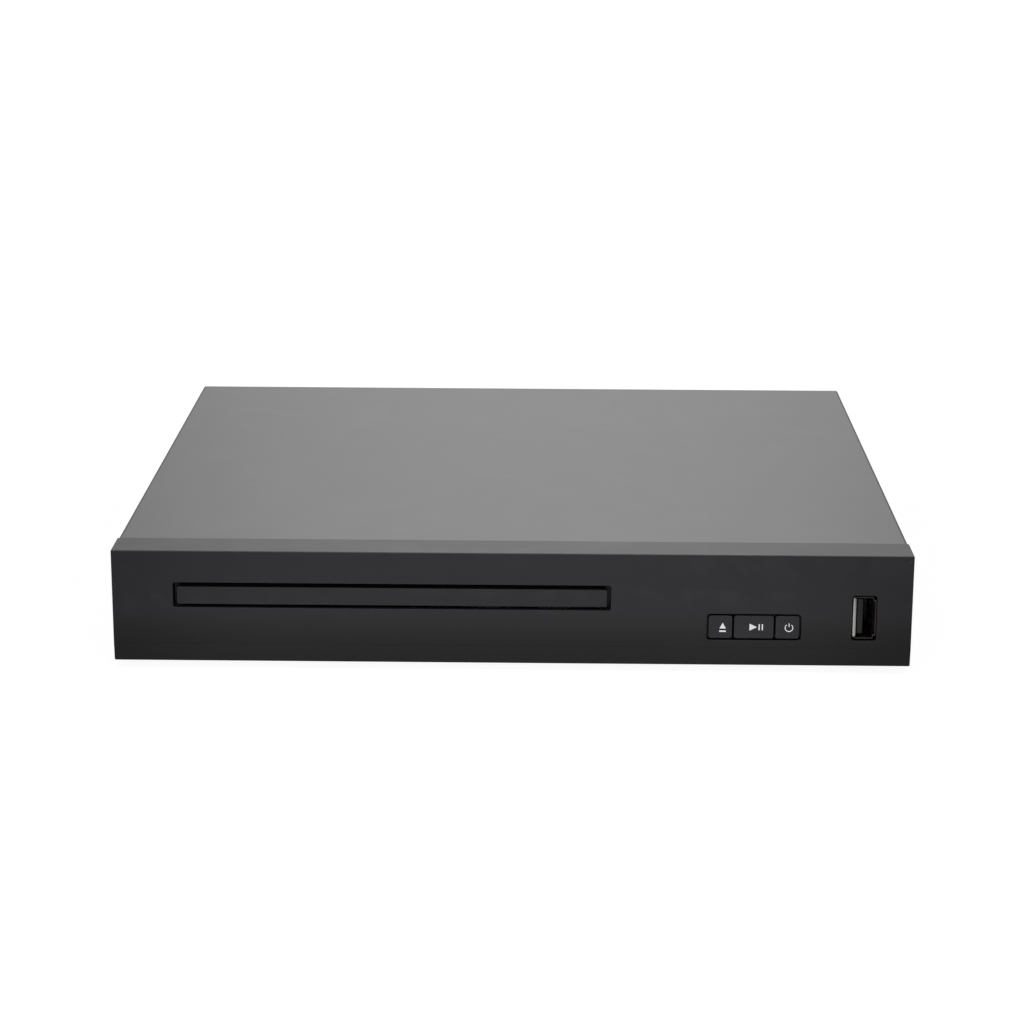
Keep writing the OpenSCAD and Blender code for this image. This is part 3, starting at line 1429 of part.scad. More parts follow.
// Round wire swept along points that advance in x
module wire(points, r) {
    sides = 8;
    n = len(points);
    step = 360 / sides;
    ring_points = [for (p = points, k = [0:sides - 1]) p + r * [0, cos(k * step), sin(k * step)]];
    walls = [for (i = [0:n - 2], k = [0:sides - 1]) let (a = i * sides + k, b = i * sides + (k + 1) % sides)
        [a, a + sides, b + sides, b]];
    polyhedron(ring_points, concat(walls, [[for (k = [0:sides - 1]) k]],
        [[for (k = [sides - 1:-1:0]) (n - 1) * sides + k]]));
}

// What is drawn

to_centre() bottom_chassis();
to_centre() chassis_walls();
to_centre() top_cover();
to_centre() front_bezel();
to_centre() feet();
to_centre() cover_screws();
to_centre() eject_button();
to_centre() play_button();
to_centre() power_button();
to_centre() eject_stem();
to_centre() play_stem();
to_centre() power_stem();
to_centre() tact_switches();
to_centre() small_boards();
to_centre() ir_receiver();
to_centre() usb_shell();
to_centre() usb_tongue();
to_centre() disc_tray();
to_centre() tray_door();
to_centre() loader_frame();
to_centre() inner_fixings();
to_centre() clamp_bridge();
to_centre() clamper();
to_centre() clamper_cap();
to_centre() clamper_magnet();
to_centre() loading_motor();
to_centre() motor_pulley();
to_centre() loading_belt();
to_centre() pulley_gear();
to_centre() drive_gear();
to_centre() cam_slider();
to_centre() traverse_frame();
to_centre() traverse_deck();
to_centre() traverse_dampers();
to_centre() traverse_screws();
to_centre() spindle_motor();
to_centre() spindle_rotor();
to_centre() turntable();
to_centre() turntable_mat();
to_centre() guide_rods();
to_centre() optical_pickup();
to_centre() objective_lens();
to_centre() sled_motor();
to_centre() sled_pinion();
to_centre() sled_gear();
to_centre() main_board();
to_centre() main_chips();
to_centre() capacitors();
to_centre() hdmi_socket();
to_centre() phono_block();
to_centre() phono_sleeves();
to_centre() power_board();
to_centre() transformer();
to_centre() heat_sink();
to_centre() filter_parts();
to_centre() mains_inlet();
to_centre() inlet_pins();
to_centre() front_ribbon();
to_centre() pickup_ribbon();
to_centre() power_wires();
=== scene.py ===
# %% [markdown]
# # A disc player with a motor-driven tray
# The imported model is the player's frame: sixty pieces, each in its place, each riding on the
# body that moves it. This file gives the pieces their finish, softens the edges that a mould or
# a press brake would leave soft, adds what is printed or pressed on the surface, and sets up
# a small white studio. Lengths are in metres, and x runs right, y back and z up.

# %% Load the frame
import json
from math import cos, pi, radians, sin

import bmesh
import bpy
from mathutils import Matrix, Vector


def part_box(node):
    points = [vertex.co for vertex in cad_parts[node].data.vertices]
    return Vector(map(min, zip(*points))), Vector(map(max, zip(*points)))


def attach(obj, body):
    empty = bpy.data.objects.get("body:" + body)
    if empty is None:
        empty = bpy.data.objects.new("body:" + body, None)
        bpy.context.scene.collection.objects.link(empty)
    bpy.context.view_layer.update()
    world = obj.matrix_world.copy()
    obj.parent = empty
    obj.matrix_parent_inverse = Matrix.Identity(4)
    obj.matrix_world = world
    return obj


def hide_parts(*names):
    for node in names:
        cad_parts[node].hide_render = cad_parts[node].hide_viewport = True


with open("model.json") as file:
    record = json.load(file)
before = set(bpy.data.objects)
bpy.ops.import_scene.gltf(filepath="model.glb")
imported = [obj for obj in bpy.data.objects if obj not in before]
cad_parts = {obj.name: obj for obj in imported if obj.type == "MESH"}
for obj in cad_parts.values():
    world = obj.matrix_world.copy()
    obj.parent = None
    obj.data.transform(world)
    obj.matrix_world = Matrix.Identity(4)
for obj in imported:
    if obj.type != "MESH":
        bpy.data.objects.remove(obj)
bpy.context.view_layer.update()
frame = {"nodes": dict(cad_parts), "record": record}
nodes = frame["nodes"]
bodies = frame["record"]["behaviour"]["bodies"]
body_of_node = {node: body for body, names in bodies.items() for node in names}
slot_of_node = {part["node"]: part["material_slot"] for part in frame["record"]["subparts"]}
MM = 0.001

# %% [markdown]
# ## The camera
# A product shot of a flat box is taken with a long lens from a little above, so that the box's
# edges stay nearly parallel. The camera could be aimed with a tracking constraint, but the
# picture also leans a quarter of a degree. So a yaw, a pitch and a roll turn the world to the
# view, and the rows of their product are the camera's own right, ahead and up.

# %% Camera
LENS = 93.52
SENSOR = 36.0
CLIP_NEAR, CLIP_FAR = 0.01, 20.0
VIEW_PITCH = radians(15.573)
VIEW_ROLL = radians(0.241)
VIEW_YAW = radians(-0.756)
VIEW_FROM = Vector((0.01002, -0.87519, 0.26201))


def make_camera():
    data = bpy.data.cameras.new("studio_camera")
    data.lens = LENS
    data.sensor_width = SENSOR
    data.clip_start = CLIP_NEAR
    data.clip_end = CLIP_FAR
    camera = bpy.data.objects.new("studio_camera", data)
    bpy.context.scene.collection.objects.link(camera)
    yaw = Matrix.Rotation(VIEW_YAW, 3, "Z")
    pitch = Matrix.Rotation(VIEW_PITCH, 3, "X")
    roll = Matrix.Rotation(VIEW_ROLL, 3, "Y")
    right, ahead, up = roll @ pitch @ yaw
    axes = Matrix((right, up, -ahead)).transposed()
    camera.matrix_world = Matrix.Translation(VIEW_FROM) @ axes.to_4x4()
    bpy.context.scene.camera = camera
    return camera


camera = make_camera()
print("camera at", tuple(camera.location), "lens", camera.data.lens)

# %% [markdown]
# ## Node helpers
# Materials are graphs, and writing each link by hand hides what the graph does. These helpers
# keep it short. They add a node with its settings, join two sockets, give an input a number or
# a link, and open a new group with named inputs and outputs, so that an effect is drawn once
# and used often. The last two reshape a value: by one sum, or from one range into another.

# %% Node helpers
def add_node(tree, kind, **settings):
    node = tree.nodes.new(kind)
    for name, value in settings.items():
        setattr(node, name, value)
    return node


def join(tree, source, target):
    tree.links.new(source, target)


def feed(tree, value, socket):
    """Gives an input its value: another node's output, or a number or colour."""
    if isinstance(value, bpy.types.NodeSocket):
        join(tree, value, socket)
    else:
        socket.default_value = value


def set_inputs(tree, node, **values):
    """Feeds inputs by name, with an underscore for each space."""
    for name, value in values.items():
        feed(tree, value, node.inputs[name.replace("_", " ")])
    return node


def new_group(name, inputs, outputs):
    """A shader group. Inputs are {name: default}, a number or a vector; outputs are names."""
    tree = bpy.data.node_groups.new(name, "ShaderNodeTree")
    for socket_name, default in inputs.items():
        kind = "NodeSocketVector" if isinstance(default, tuple) else "NodeSocketFloat"
        socket = tree.interface.new_socket(name=socket_name, in_out="INPUT", socket_type=kind)
        socket.default_value = default
    for socket_name in outputs:
        tree.interface.new_socket(
            name=socket_name, in_out="OUTPUT", socket_type="NodeSocketFloat")
    return tree, add_node(tree, "NodeGroupInput"), add_node(tree, "NodeGroupOutput")


def place_group(tree, group, **values):
    return set_inputs(tree, add_node(tree, "ShaderNodeGroup", node_tree=group), **values)


def object_position(tree):
    return add_node(tree, "ShaderNodeTexCoord").outputs["Object"]


def math_node(tree, operation, first, second=None):
    node = add_node(tree, "ShaderNodeMath", operation=operation)
    feed(tree, first, node.inputs[0])
    if second is not None:
        feed(tree, second, node.inputs[1])
    return node.outputs[0]


def remap(tree, value, low, high, at_low=0.0, at_high=1.0, curve="SMOOTHSTEP"):
    """Turns a value between low and high into one between at_low and at_high."""
    node = add_node(tree, "ShaderNodeMapRange", interpolation_type=curve)
    set_inputs(
        tree, node, Value=value, From_Min=low, From_Max=high, To_Min=at_low, To_Max=at_high)
    return node.outputs["Result"]


print("helpers ready")

# %% [markdown]
# ## The studio
# A dark satin box shows hardly any colour of its own: what the eye reads as grey on its lid is
# the white backdrop, mirrored at a shallow angle. So the studio matters more than the paint. The
# backdrop is the world, plain white to the camera. To a reflection it is a lit roll of paper of
# limited width, brightest straight behind and higher up, dimmer past its sides and dimmer again
# in the room in front. Its width, depth and height are read from the direction of the ray.

# %% World
BACKDROP_WHITE = 1.0
FILL_LIGHT = 0.62
MIRRORED_WHITE = 1.048
PAPER_EDGE, PAPER_END = 0.07, 0.25
PAST_THE_PAPER = 0.3
IN_FRONT, BEHIND = -0.3, 0.3
ROOM_IN_FRONT = 0.55
LOW_DOWN, HIGH_UP = 0.08, 0.42
LOW_GLOW, HIGH_GLOW = 0.25, 2.12
WHITE = (1, 1, 1, 1)


def mix_shaders(tree, share, first, second):
    node = add_node(tree, "ShaderNodeMixShader")
    for socket, source in zip(node.inputs, (share, first, second)):
        join(tree, source, socket)
    return node.outputs[0]


def background(tree, strength):
    node = add_node(tree, "ShaderNodeBackground")
    return set_inputs(tree, node, Color=WHITE, Strength=strength).outputs[0]


def paper_brightness(tree):
    """How bright the paper is in each direction that a reflection can look."""
    direction = add_node(tree, "ShaderNodeSeparateXYZ")
    join(tree, add_node(tree, "ShaderNodeTexCoord").outputs["Generated"], direction.inputs[0])
    sideways = math_node(tree, "ABSOLUTE", direction.outputs["X"])
    across = remap(
        tree, sideways, PAPER_EDGE, PAPER_END, MIRRORED_WHITE, MIRRORED_WHITE * PAST_THE_PAPER)
    along = remap(tree, direction.outputs["Y"], IN_FRONT, BEHIND, ROOM_IN_FRONT, 1.0)
    upward = remap(
        tree, direction.outputs["Z"], LOW_DOWN, HIGH_UP, LOW_GLOW, HIGH_GLOW, curve="LINEAR")
    return math_node(tree, "MULTIPLY", math_node(tree, "MULTIPLY", across, along), upward)


def make_world():
    world = bpy.data.worlds.new("paper_studio")
    world.use_nodes = True
    tree = world.node_tree
    tree.nodes.clear()
    path = add_node(tree, "ShaderNodeLightPath").outputs
    seen = math_node(tree, "MAXIMUM", path["Is Glossy Ray"], path["Is Transmission Ray"])
    paper = background(tree, paper_brightness(tree))
    lit = mix_shaders(tree, seen, background(tree, FILL_LIGHT), paper)
    shown = mix_shaders(tree, path["Is Camera Ray"], lit, background(tree, BACKDROP_WHITE))
    join(tree, shown, add_node(tree, "ShaderNodeOutputWorld").inputs["Surface"])
    return world


scene = bpy.context.scene
scene.world = make_world()
scene.view_settings.view_transform = "Standard"
print("world fill", FILL_LIGHT)

# %% [markdown]
# ### Lamps
# Two softboxes do the rest: a wide one overhead draws the soft shadow under the player, and a
# weaker one far in front lights its face. A large lamp near the object gives soft edges, and a
# point lamp would print hard ones.

# %% Lamps
LAMP_AIM = Vector((0, 0, 0.02))


def softbox(name, place, size, watts):
    data = bpy.data.lights.new(name, "AREA")
    data.shape = "RECTANGLE"
    data.size, data.size_y = size
    data.energy = watts
    lamp = bpy.data.objects.new(name, data)
    scene.collection.objects.link(lamp)
    lamp.location = place
    lamp.rotation_euler = (LAMP_AIM - Vector(place)).to_track_quat("-Z", "Y").to_euler()
    return lamp


softbox("overhead_softbox", place=(0, -0.25, 1.3), size=(1.3, 1.0), watts=9.0)
softbox("front_softbox", place=(-0.15, -1.5, 0.9), size=(0.9, 0.6), watts=4.0)

# %% [markdown]
# ### The floor
# The paper under the player could be a plain white diffuse sheet, but then its tone depends on
# every lamp. Here the camera sees mostly the paper's own white and a share of the lit sheet, so
# the page stays white and the shadow under the player stays soft and faint. The share of its own
# white grows with the distance, so the paper runs into the backdrop with no horizon. Other rays
# meet a matt sheet that carries a painted pool of light: its colour is whitest round the player
# and darker past its sides. From below, the paper is clear as glass, so that the underside can be
# looked at. Under the player, where the paper lies in the player's shadow, reflections meet its
# own glowing white instead, a painted reflection, so that the bare steel there mirrors paper and
# isn't black.

# %% Floor
FLOOR_SIZE = 12.0
FLOOR_WHITE = 0.93
# Where the painted pool of light on the floor ends, and how dark the colour is past it.
POOL_EDGE, POOL_END = 0.075, 0.15
PAST_THE_PAINTED_POOL = 0.48
PAPER_SHARE = 0.86
ALL_PAPER_FROM, ALL_PAPER_AT = 0.2, 0.9
PAPER_GLOW = 1.087
# How much of the paper's own glowing white reflections see under the player: a painted reflection
# where the paper lies in shadow.
UNDER_GLOW_SHARE = 0.6
UNDER_EDGE, UNDER_END = 0.1, 0.115


def own_white_share(tree, aside, back):
    """How much of the paper's own white each kind of ray sees; the rest is the lit sheet."""
    path = add_node(tree, "ShaderNodeLightPath").outputs
    away = add_node(tree, "ShaderNodeVectorMath", operation="LENGTH")
    join(tree, object_position(tree), away.inputs[0])
    far = remap(tree, away.outputs["Value"], ALL_PAPER_FROM, ALL_PAPER_AT, PAPER_SHARE, 1.0)
    outward = math_node(tree, "MAXIMUM", aside, back)
    # Painted reflection: under the player, where the paper is in shadow, glossy rays see its own
    # glowing white.
    painted_glow_under = remap(tree, outward, UNDER_EDGE, UNDER_END, UNDER_GLOW_SHARE, 0.0)
    to_camera = math_node(tree, "MULTIPLY", path["Is Camera Ray"], far)
    to_gloss = math_node(tree, "MULTIPLY", path["Is Glossy Ray"], painted_glow_under)
    return math_node(tree, "MAXIMUM", to_camera, to_gloss)


def make_paper():
    material = bpy.data.materials.new("studio_paper")
    material.use_nodes = True
    tree = material.node_tree
    tree.nodes.clear()
    place = add_node(tree, "ShaderNodeSeparateXYZ")
    join(tree, object_position(tree), place.inputs[0])
    aside = math_node(tree, "ABSOLUTE", place.outputs["X"])
    back = math_node(tree, "ABSOLUTE", place.outputs["Y"])
    # Painted pool of light: the sheet's colour darkens past the player's sides.
    painted_pool = remap(tree, aside, POOL_EDGE, POOL_END, FLOOR_WHITE, FLOOR_WHITE * PAST_THE_PAINTED_POOL)
    tone = add_node(tree, "ShaderNodeCombineColor")
    for channel in tone.inputs:
        join(tree, painted_pool, channel)
    lit = set_inputs(tree, add_node(tree, "ShaderNodeBsdfDiffuse"), Color=tone.outputs[0])
    own = set_inputs(tree, add_node(tree, "ShaderNodeEmission"), Strength=PAPER_GLOW)
    above = mix_shaders(
        tree, own_white_share(tree, aside, back), lit.outputs[0], own.outputs[0])
    from_below = add_node(tree, "ShaderNodeNewGeometry").outputs["Backfacing"]
    clear = add_node(tree, "ShaderNodeBsdfTransparent").outputs[0]
    paper = mix_shaders(tree, from_below, above, clear)
    join(tree, paper, add_node(tree, "ShaderNodeOutputMaterial").inputs["Surface"])
    return material


def make_floor():
    half = FLOOR_SIZE / 2
    corners = [(-half, -half, 0), (half, -half, 0), (half, half, 0), (-half, half, 0)]
    mesh = bpy.data.meshes.new("studio_floor")
    mesh.from_pydata(corners, [], [(0, 1, 2, 3)])
    floor = bpy.data.objects.new("studio_floor", mesh)
    scene.collection.objects.link(floor)
    mesh.materials.append(make_paper())
    return floor


floor = make_floor()
print("floor", tuple(round(d, 2) for d in floor.dimensions))

# %% [markdown]
# ## Shared effects
# A surface reads as real when three scales are right: the grain that a fingertip feels, the
# slow drift of tone across a panel, and the marks of handling. Each is a group that puts out
# masks and heights, and each material decides how much of it to use. All of them read
# Object coordinates, so the pattern is in metres and moves with its piece.
# The first is the skin of a moulded part, which copies a spark-eroded tool: rounded cells of
# one size, with finer dust between them.

# %% Moulded grain
GRAIN_DUST_FINER, GRAIN_DUST_SHARE = 2.3, 0.5
PIT_STEP = (0.35, 0.75)


def texture(tree, kind, position, **values):
    return set_inputs(tree, add_node(tree, kind), Vector=position, **values)


def noise(tree, position, **values):
    return texture(tree, "ShaderNodeTexNoise", position, **values).outputs["Fac"]


def cell_distance(tree, position, **values):
    return texture(tree, "ShaderNodeTexVoronoi", position, **values).outputs["Distance"]


def add_share(tree, main, extra, share):
    return math_node(tree, "ADD", main, math_node(tree, "MULTIPLY", extra, share))


def build_mould_grain():
    tree, entry, leave = new_group("mould_grain", {"Cells per metre": 2500.0}, ("Height", "Pits"))
    position = object_position(tree)
    scale = entry.outputs[0]
    cells = cell_distance(tree, position, Scale=scale, Randomness=1.0)
    finer = math_node(tree, "MULTIPLY", scale, GRAIN_DUST_FINER)
    dust = noise(tree, position, Scale=finer, Detail=2.0, Roughness=0.6)
    height = add_share(tree, cells, dust, GRAIN_DUST_SHARE)
    set_inputs(tree, leave, Height=height, Pits=remap(tree, height, *PIT_STEP))
    return tree


MOULD_GRAIN = build_mould_grain()
print("group", MOULD_GRAIN.name)

# %% [markdown]
# Powder or sprayed paint levels before it sets, and leaves low soft humps about a millimetre
# wide with a fine speckle on them. Two noises of different scale give both, and one tree keeps
# them in step when the scale changes.

# %% Orange peel of a coated panel
GRIT_FINER, GRIT_SHARE = 4.0, 0.6
SPECKLE_STEP = (0.4, 0.68)


def build_orange_peel():
    tree, entry, leave = new_group(
        "orange_peel", {"Humps per metre": 900.0}, ("Height", "Speckle"))
    position = object_position(tree)
    scale = entry.outputs[0]
    humps = noise(tree, position, Scale=scale, Detail=1.0, Roughness=0.4, Distortion=0.3)
    finer = math_node(tree, "MULTIPLY", scale, GRIT_FINER)
    grit = noise(tree, position, Scale=finer, Detail=3.0, Roughness=0.7)
    height = add_share(tree, humps, grit, GRIT_SHARE)
    set_inputs(tree, leave, Height=height, Speckle=remap(tree, grit, *SPECKLE_STEP))
    return tree


ORANGE_PEEL = build_orange_peel()
print("group", ORANGE_PEEL.name)

# %% [markdown]
# Nothing that has stood in a room is one even tone. The tone drifts over centimetres, hands
# leave soft smudges, and specks of dust settle in patches. A speck is the middle of a scattered
# cell, and a slow noise says where the cells may show.

# %% Slow tone and handling marks
SMUDGE_STEP = (0.42, 0.7)
DUSTY_STEP = (0.45, 0.75)
SPECK_RADIUS = 0.05


def build_slow_tone():
    tree, _, leave = new_group("slow_tone", {}, ("Drift", "Smudge", "Dust"))
    position = object_position(tree)
    drift = noise(tree, position, Scale=14.0, Detail=2.0)
    smudge = noise(tree, position, Scale=55.0, Detail=5.0, Roughness=0.55, Distortion=0.9)
    specks = cell_distance(tree, position, Scale=260.0)
    spread = noise(tree, position, Scale=40.0, Detail=1.0)
    dusty = remap(tree, spread, *DUSTY_STEP)
    reach = math_node(tree, "MULTIPLY", dusty, SPECK_RADIUS)
    set_inputs(
        tree, leave, Drift=drift, Smudge=remap(tree, smudge, *SMUDGE_STEP),
        Dust=math_node(tree, "LESS_THAN", specks, reach))
    return tree


SLOW_TONE = build_slow_tone()
print("group", SLOW_TONE.name)

# %% [markdown]
# Rolling, brushing and turning leave fine parallel lines. A picture of brushed metal would do
# on a flat sheet, but here the position is stretched along the direction of work and read as
# noise, which works on any shape.

# %% Lines left by rolling, brushing or turning
LINE_STEP = (0.3, 0.7)
ALONG_X = (60.0, 3200.0, 3200.0)
ALONG_Y = (3200.0, 60.0, 3200.0)
ALONG_Z = (3200.0, 3200.0, 60.0)
AROUND_Z = (140.0, 140.0, 5200.0)


def build_draw_lines():
    tree, entry, leave = new_group("draw_lines", {"Stretch": ALONG_X}, ("Lines", "Height"))
    stretched = add_node(tree, "ShaderNodeVectorMath", operation="MULTIPLY")
    join(tree, object_position(tree), stretched.inputs[0])
    join(tree, entry.outputs[0], stretched.inputs[1])
    lines = noise(tree, stretched.outputs[0], Scale=1.0, Detail=3.0, Roughness=0.7)
    set_inputs(tree, leave, Lines=remap(tree, lines, *LINE_STEP), Height=lines)
    return tree


DRAW_LINES = build_draw_lines()
print("group", DRAW_LINES.name)

# %% [markdown]
# Handling polishes the edges of a moulded part. Pointiness is high where a surface is convex,
# and a noise breaks the line up, because no edge wears evenly.

# %% Wear on edges
SHARP_STEP = (0.53, 0.62)
WORN_STEP = (0.4, 0.65)


def build_edge_rub():
    tree, _, leave = new_group("edge_rub", {}, ("Rub",))
    pointed = add_node(tree, "ShaderNodeNewGeometry").outputs["Pointiness"]
    patch = noise(tree, object_position(tree), Scale=130.0, Detail=3.0)
    rub = math_node(
        tree, "MULTIPLY", remap(tree, pointed, *SHARP_STEP), remap(tree, patch, *WORN_STEP))
    join(tree, rub, leave.inputs["Rub"])
    return tree


EDGE_RUB = build_edge_rub()
print("group", EDGE_RUB.name)

# %% [markdown]
# ## Finishes
# Every material starts from the same Principled shader, with its plain numbers set on its own
# sockets. What differs over the surface is added after that: a second tone through a mask, a
# bump from a height, or a roughness that a mask moves. These helpers do those three things.

# %% Material helpers
def start_material(name, colour, roughness, metallic=0.0, specular=0.5):
    material = bpy.data.materials.new(name)
    material.use_nodes = True
    tree = material.node_tree
    shader = tree.nodes["Principled BSDF"]
    set_inputs(
        tree, shader, Base_Color=(*colour, 1), Roughness=roughness, Metallic=metallic,
        Specular_IOR_Level=specular)
    return material, tree, shader


def shade(colour, factor):
    return tuple(min(1.0, channel * factor) for channel in colour)


def bloom(colour, haze, keep=1.0):
    """The colour under a thin pale film, such as dust."""
    return tuple(channel * keep + haze for channel in colour)


def mix_tones(tree, mask, first, second):
    node = add_node(tree, "ShaderNodeMix", data_type="RGBA")
    join(tree, mask, node.inputs[0])
    for socket, tone in zip(node.inputs[6:8], (first, second)):
        feed(tree, (*tone, 1) if isinstance(tone, tuple) else tone, socket)
    return node.outputs[2]


def two_tones(tree, mask, colour, factors):
    return mix_tones(tree, mask, *[shade(colour, factor) for factor in factors])


def vary_roughness(tree, shader, mask, roughness, changes):
    """Adds the first change where the mask is 0, the second where it is 1."""
    low, high = [roughness + change for change in changes]
    join(tree, remap(tree, mask, 0, 1, low, high, curve="LINEAR"), shader.inputs["Roughness"])


def add_bump(tree, shader, height, depth):
    node = set_inputs(tree, add_node(tree, "ShaderNodeBump"), Height=height, Distance=depth)
    join(tree, node.outputs["Normal"], shader.inputs["Normal"])


print("material helpers ready")

# %% [markdown]
# ### Moulded plastic
# A bezel is moulded against a spark-eroded tool, so its face is a field of tiny rounded pits
# that scatter light and hide flow marks. The same recipe with a smoother grain serves the
# hidden mouldings. The pits are bump, since real ones are a hundredth of a millimetre deep,
# and dust and rubbed edges are a little lighter than the plastic.

# %% Moulded plastic
PLASTIC_TONES = (0.86, 1.14)
PIT_TONE = 1.22
DUST_KEEP = 0.5
PLASTIC_DUST = 0.06
PLASTIC_CHANGES = (0.008, -0.012)


def moulded_plastic(name, colour, roughness, cells=2600.0, depth=0.000012, specular=0.5,
                    rubbed=1.6):
    material, tree, shader = start_material(name, colour, roughness, specular=specular)
    grain = place_group(tree, MOULD_GRAIN, Cells_per_metre=cells).outputs
    tone = place_group(tree, SLOW_TONE).outputs
    rub = place_group(tree, EDGE_RUB).outputs["Rub"]
    body = two_tones(tree, tone["Drift"], colour, PLASTIC_TONES)
    pitted = mix_tones(tree, grain["Pits"], body, shade(colour, PIT_TONE))
    edged = mix_tones(tree, rub, pitted, shade(colour, rubbed))
    dusted = mix_tones(tree, tone["Dust"], edged, bloom(colour, PLASTIC_DUST, DUST_KEEP))
    join(tree, dusted, shader.inputs["Base Color"])
    vary_roughness(tree, shader, tone["Smudge"], roughness, PLASTIC_CHANGES)
    add_bump(tree, shader, grain["Height"], depth)
    return material


print("recipe moulded_plastic")

# %% [markdown]
# The front face loses light towards its foot, where the shelf in front of it lies in the player's
# own shadow, and that shade is painted into the colour. A second material could darken the strip,
# but one mask from the height above the table is enough: it multiplies the colour by a painted
# shade, from nearly nothing at the foot to the full colour a little over a centimetre higher.

# %% Front plastic, with painted shade at its foot
FOOT_LOW, FOOT_HIGH = 0.0075, 0.021
# The painted shade at the foot: a bluish near-black that multiplies the colour there.
FOOT_PAINTED_SHADE = (0.06, 0.06, 0.0672)
FULL_TONE = (1.0, 1.0, 1.0)


def front_plastic_painted_shade(name, colour, roughness, **values):
    material = moulded_plastic(name, colour, roughness, **values)
    tree = material.node_tree
    target = tree.nodes["Principled BSDF"].inputs["Base Color"]
    place = add_node(tree, "ShaderNodeSeparateXYZ")
    join(tree, object_position(tree), place.inputs[0])
    # Painted shade: this mask darkens the colour towards the foot, where the front lies in shadow.
    lit = remap(tree, place.outputs["Z"], FOOT_LOW, FOOT_HIGH)
    painted_foot_shade = add_node(tree, "ShaderNodeMix", data_type="RGBA", blend_type="MULTIPLY")
    painted_foot_shade.inputs[0].default_value = 1.0
    join(tree, target.links[0].from_socket, painted_foot_shade.inputs[6])
    join(tree, mix_tones(tree, lit, FOOT_PAINTED_SHADE, FULL_TONE), painted_foot_shade.inputs[7])
    join(tree, painted_foot_shade.outputs[2], target)
    return material


print("recipe front_plastic_painted_shade")

# %% [markdown]
# ### Powder-coated steel
# The cover is steel sheet under black satin powder. At a shallow angle its humps blur the white
# backdrop into an even grey. So the roughness is medium and the humps are only microns high.

# %% Coated steel
COAT_TONES = (0.88, 1.12)
SPECKLE_TONE = 1.35
COAT_RUBBED = 1.7
COAT_DUST = 0.07
COAT_CHANGES = (0.004, -0.006)


def coated_steel(name, colour, roughness, humps=900.0, depth=0.000006, specular=0.5):
    material, tree, shader = start_material(name, colour, roughness, specular=specular)
    peel = place_group(tree, ORANGE_PEEL, Humps_per_metre=humps).outputs
    tone = place_group(tree, SLOW_TONE).outputs
    rub = place_group(tree, EDGE_RUB).outputs["Rub"]
    body = two_tones(tree, tone["Drift"], colour, COAT_TONES)
    speckled = mix_tones(tree, peel["Speckle"], body, shade(colour, SPECKLE_TONE))
    edged = mix_tones(tree, rub, speckled, shade(colour, COAT_RUBBED))
    dusted = mix_tones(tree, tone["Dust"], edged, bloom(colour, COAT_DUST, DUST_KEEP))
    join(tree, dusted, shader.inputs["Base Color"])
    vary_roughness(tree, shader, tone["Smudge"], roughness, COAT_CHANGES)
    add_bump(tree, shader, peel["Height"], depth)
    return material


print("recipe coated_steel")

# %% [markdown]
# ### Bare metal
# Sheet from a mill, a drawn motor can and a turned pulley all carry fine lines along the
# direction of work. Zinc and nickel also tarnish in soft clouds. A die-cast part has no lines:
# its dull skin copies the mould, with a coarse and shallow grain.

# %% Bare metal
LINE_TONES = (0.88, 1.08)
LINE_CHANGES = (-0.05, 0.08)
CAST_CELLS, CAST_DEPTH = 1500.0, 0.00003
CAST_TONES = (0.8, 1.1)
CAST_CLOUD = 0.72
CAST_CHANGES = (0.1, -0.05)


def worked_metal(name, colour, roughness, stretch=ALONG_X, depth=0.000004, cloud=0.8):
    material, tree, shader = start_material(name, colour, roughness, metallic=1.0)
    lines = place_group(tree, DRAW_LINES, Stretch=stretch).outputs
    smudge = place_group(tree, SLOW_TONE).outputs["Smudge"]
    body = two_tones(tree, lines["Lines"], colour, LINE_TONES)
    join(tree, mix_tones(tree, smudge, body, shade(colour, cloud)), shader.inputs["Base Color"])
    vary_roughness(tree, shader, lines["Lines"], roughness, LINE_CHANGES)
    add_bump(tree, shader, lines["Height"], depth)
    return material


def cast_metal(name, colour, roughness, metallic=0.9):
    material, tree, shader = start_material(name, colour, roughness, metallic=metallic)
    grain = place_group(tree, MOULD_GRAIN, Cells_per_metre=CAST_CELLS).outputs
    smudge = place_group(tree, SLOW_TONE).outputs["Smudge"]
    body = two_tones(tree, grain["Pits"], colour, CAST_TONES)
    clouded = mix_tones(tree, smudge, body, shade(colour, CAST_CLOUD))
    join(tree, clouded, shader.inputs["Base Color"])
    vary_roughness(tree, shader, grain["Pits"], roughness, CAST_CHANGES)
    add_bump(tree, shader, grain["Height"], CAST_DEPTH)
    return material


print("recipes worked_metal, cast_metal")

# %% [markdown]
# ### Rubber
# Feet, dampers and the belt are matt dark rubber. Wax in it rises to the surface with the
# years, a chalky bloom that gathers in patches, and dust sticks to it more than to plastic.

# %% Rubber
RUBBER_CELLS, RUBBER_DEPTH = 1800.0, 0.00002
RUBBER_DARK = 0.85
BLOOM_KEEP, BLOOM_HAZE = 1.5, 0.008
RUBBER_DUST = 0.12
RUBBER_CHANGES = (-0.06, 0.1)


def soft_rubber(name, colour, roughness=0.75):
    material, tree, shader = start_material(name, colour, roughness, specular=0.35)
    grain = place_group(tree, MOULD_GRAIN, Cells_per_metre=RUBBER_CELLS).outputs
    tone = place_group(tree, SLOW_TONE).outputs
    body = mix_tones(
        tree, tone["Smudge"], shade(colour, RUBBER_DARK), bloom(colour, BLOOM_HAZE, BLOOM_KEEP))
    dusted = mix_tones(tree, tone["Dust"], body, bloom(colour, RUBBER_DUST))
    join(tree, dusted, shader.inputs["Base Color"])
    vary_roughness(tree, shader, tone["Smudge"], roughness, RUBBER_CHANGES)
    add_bump(tree, shader, grain["Height"], RUBBER_DEPTH)
    return material


print("recipe soft_rubber")

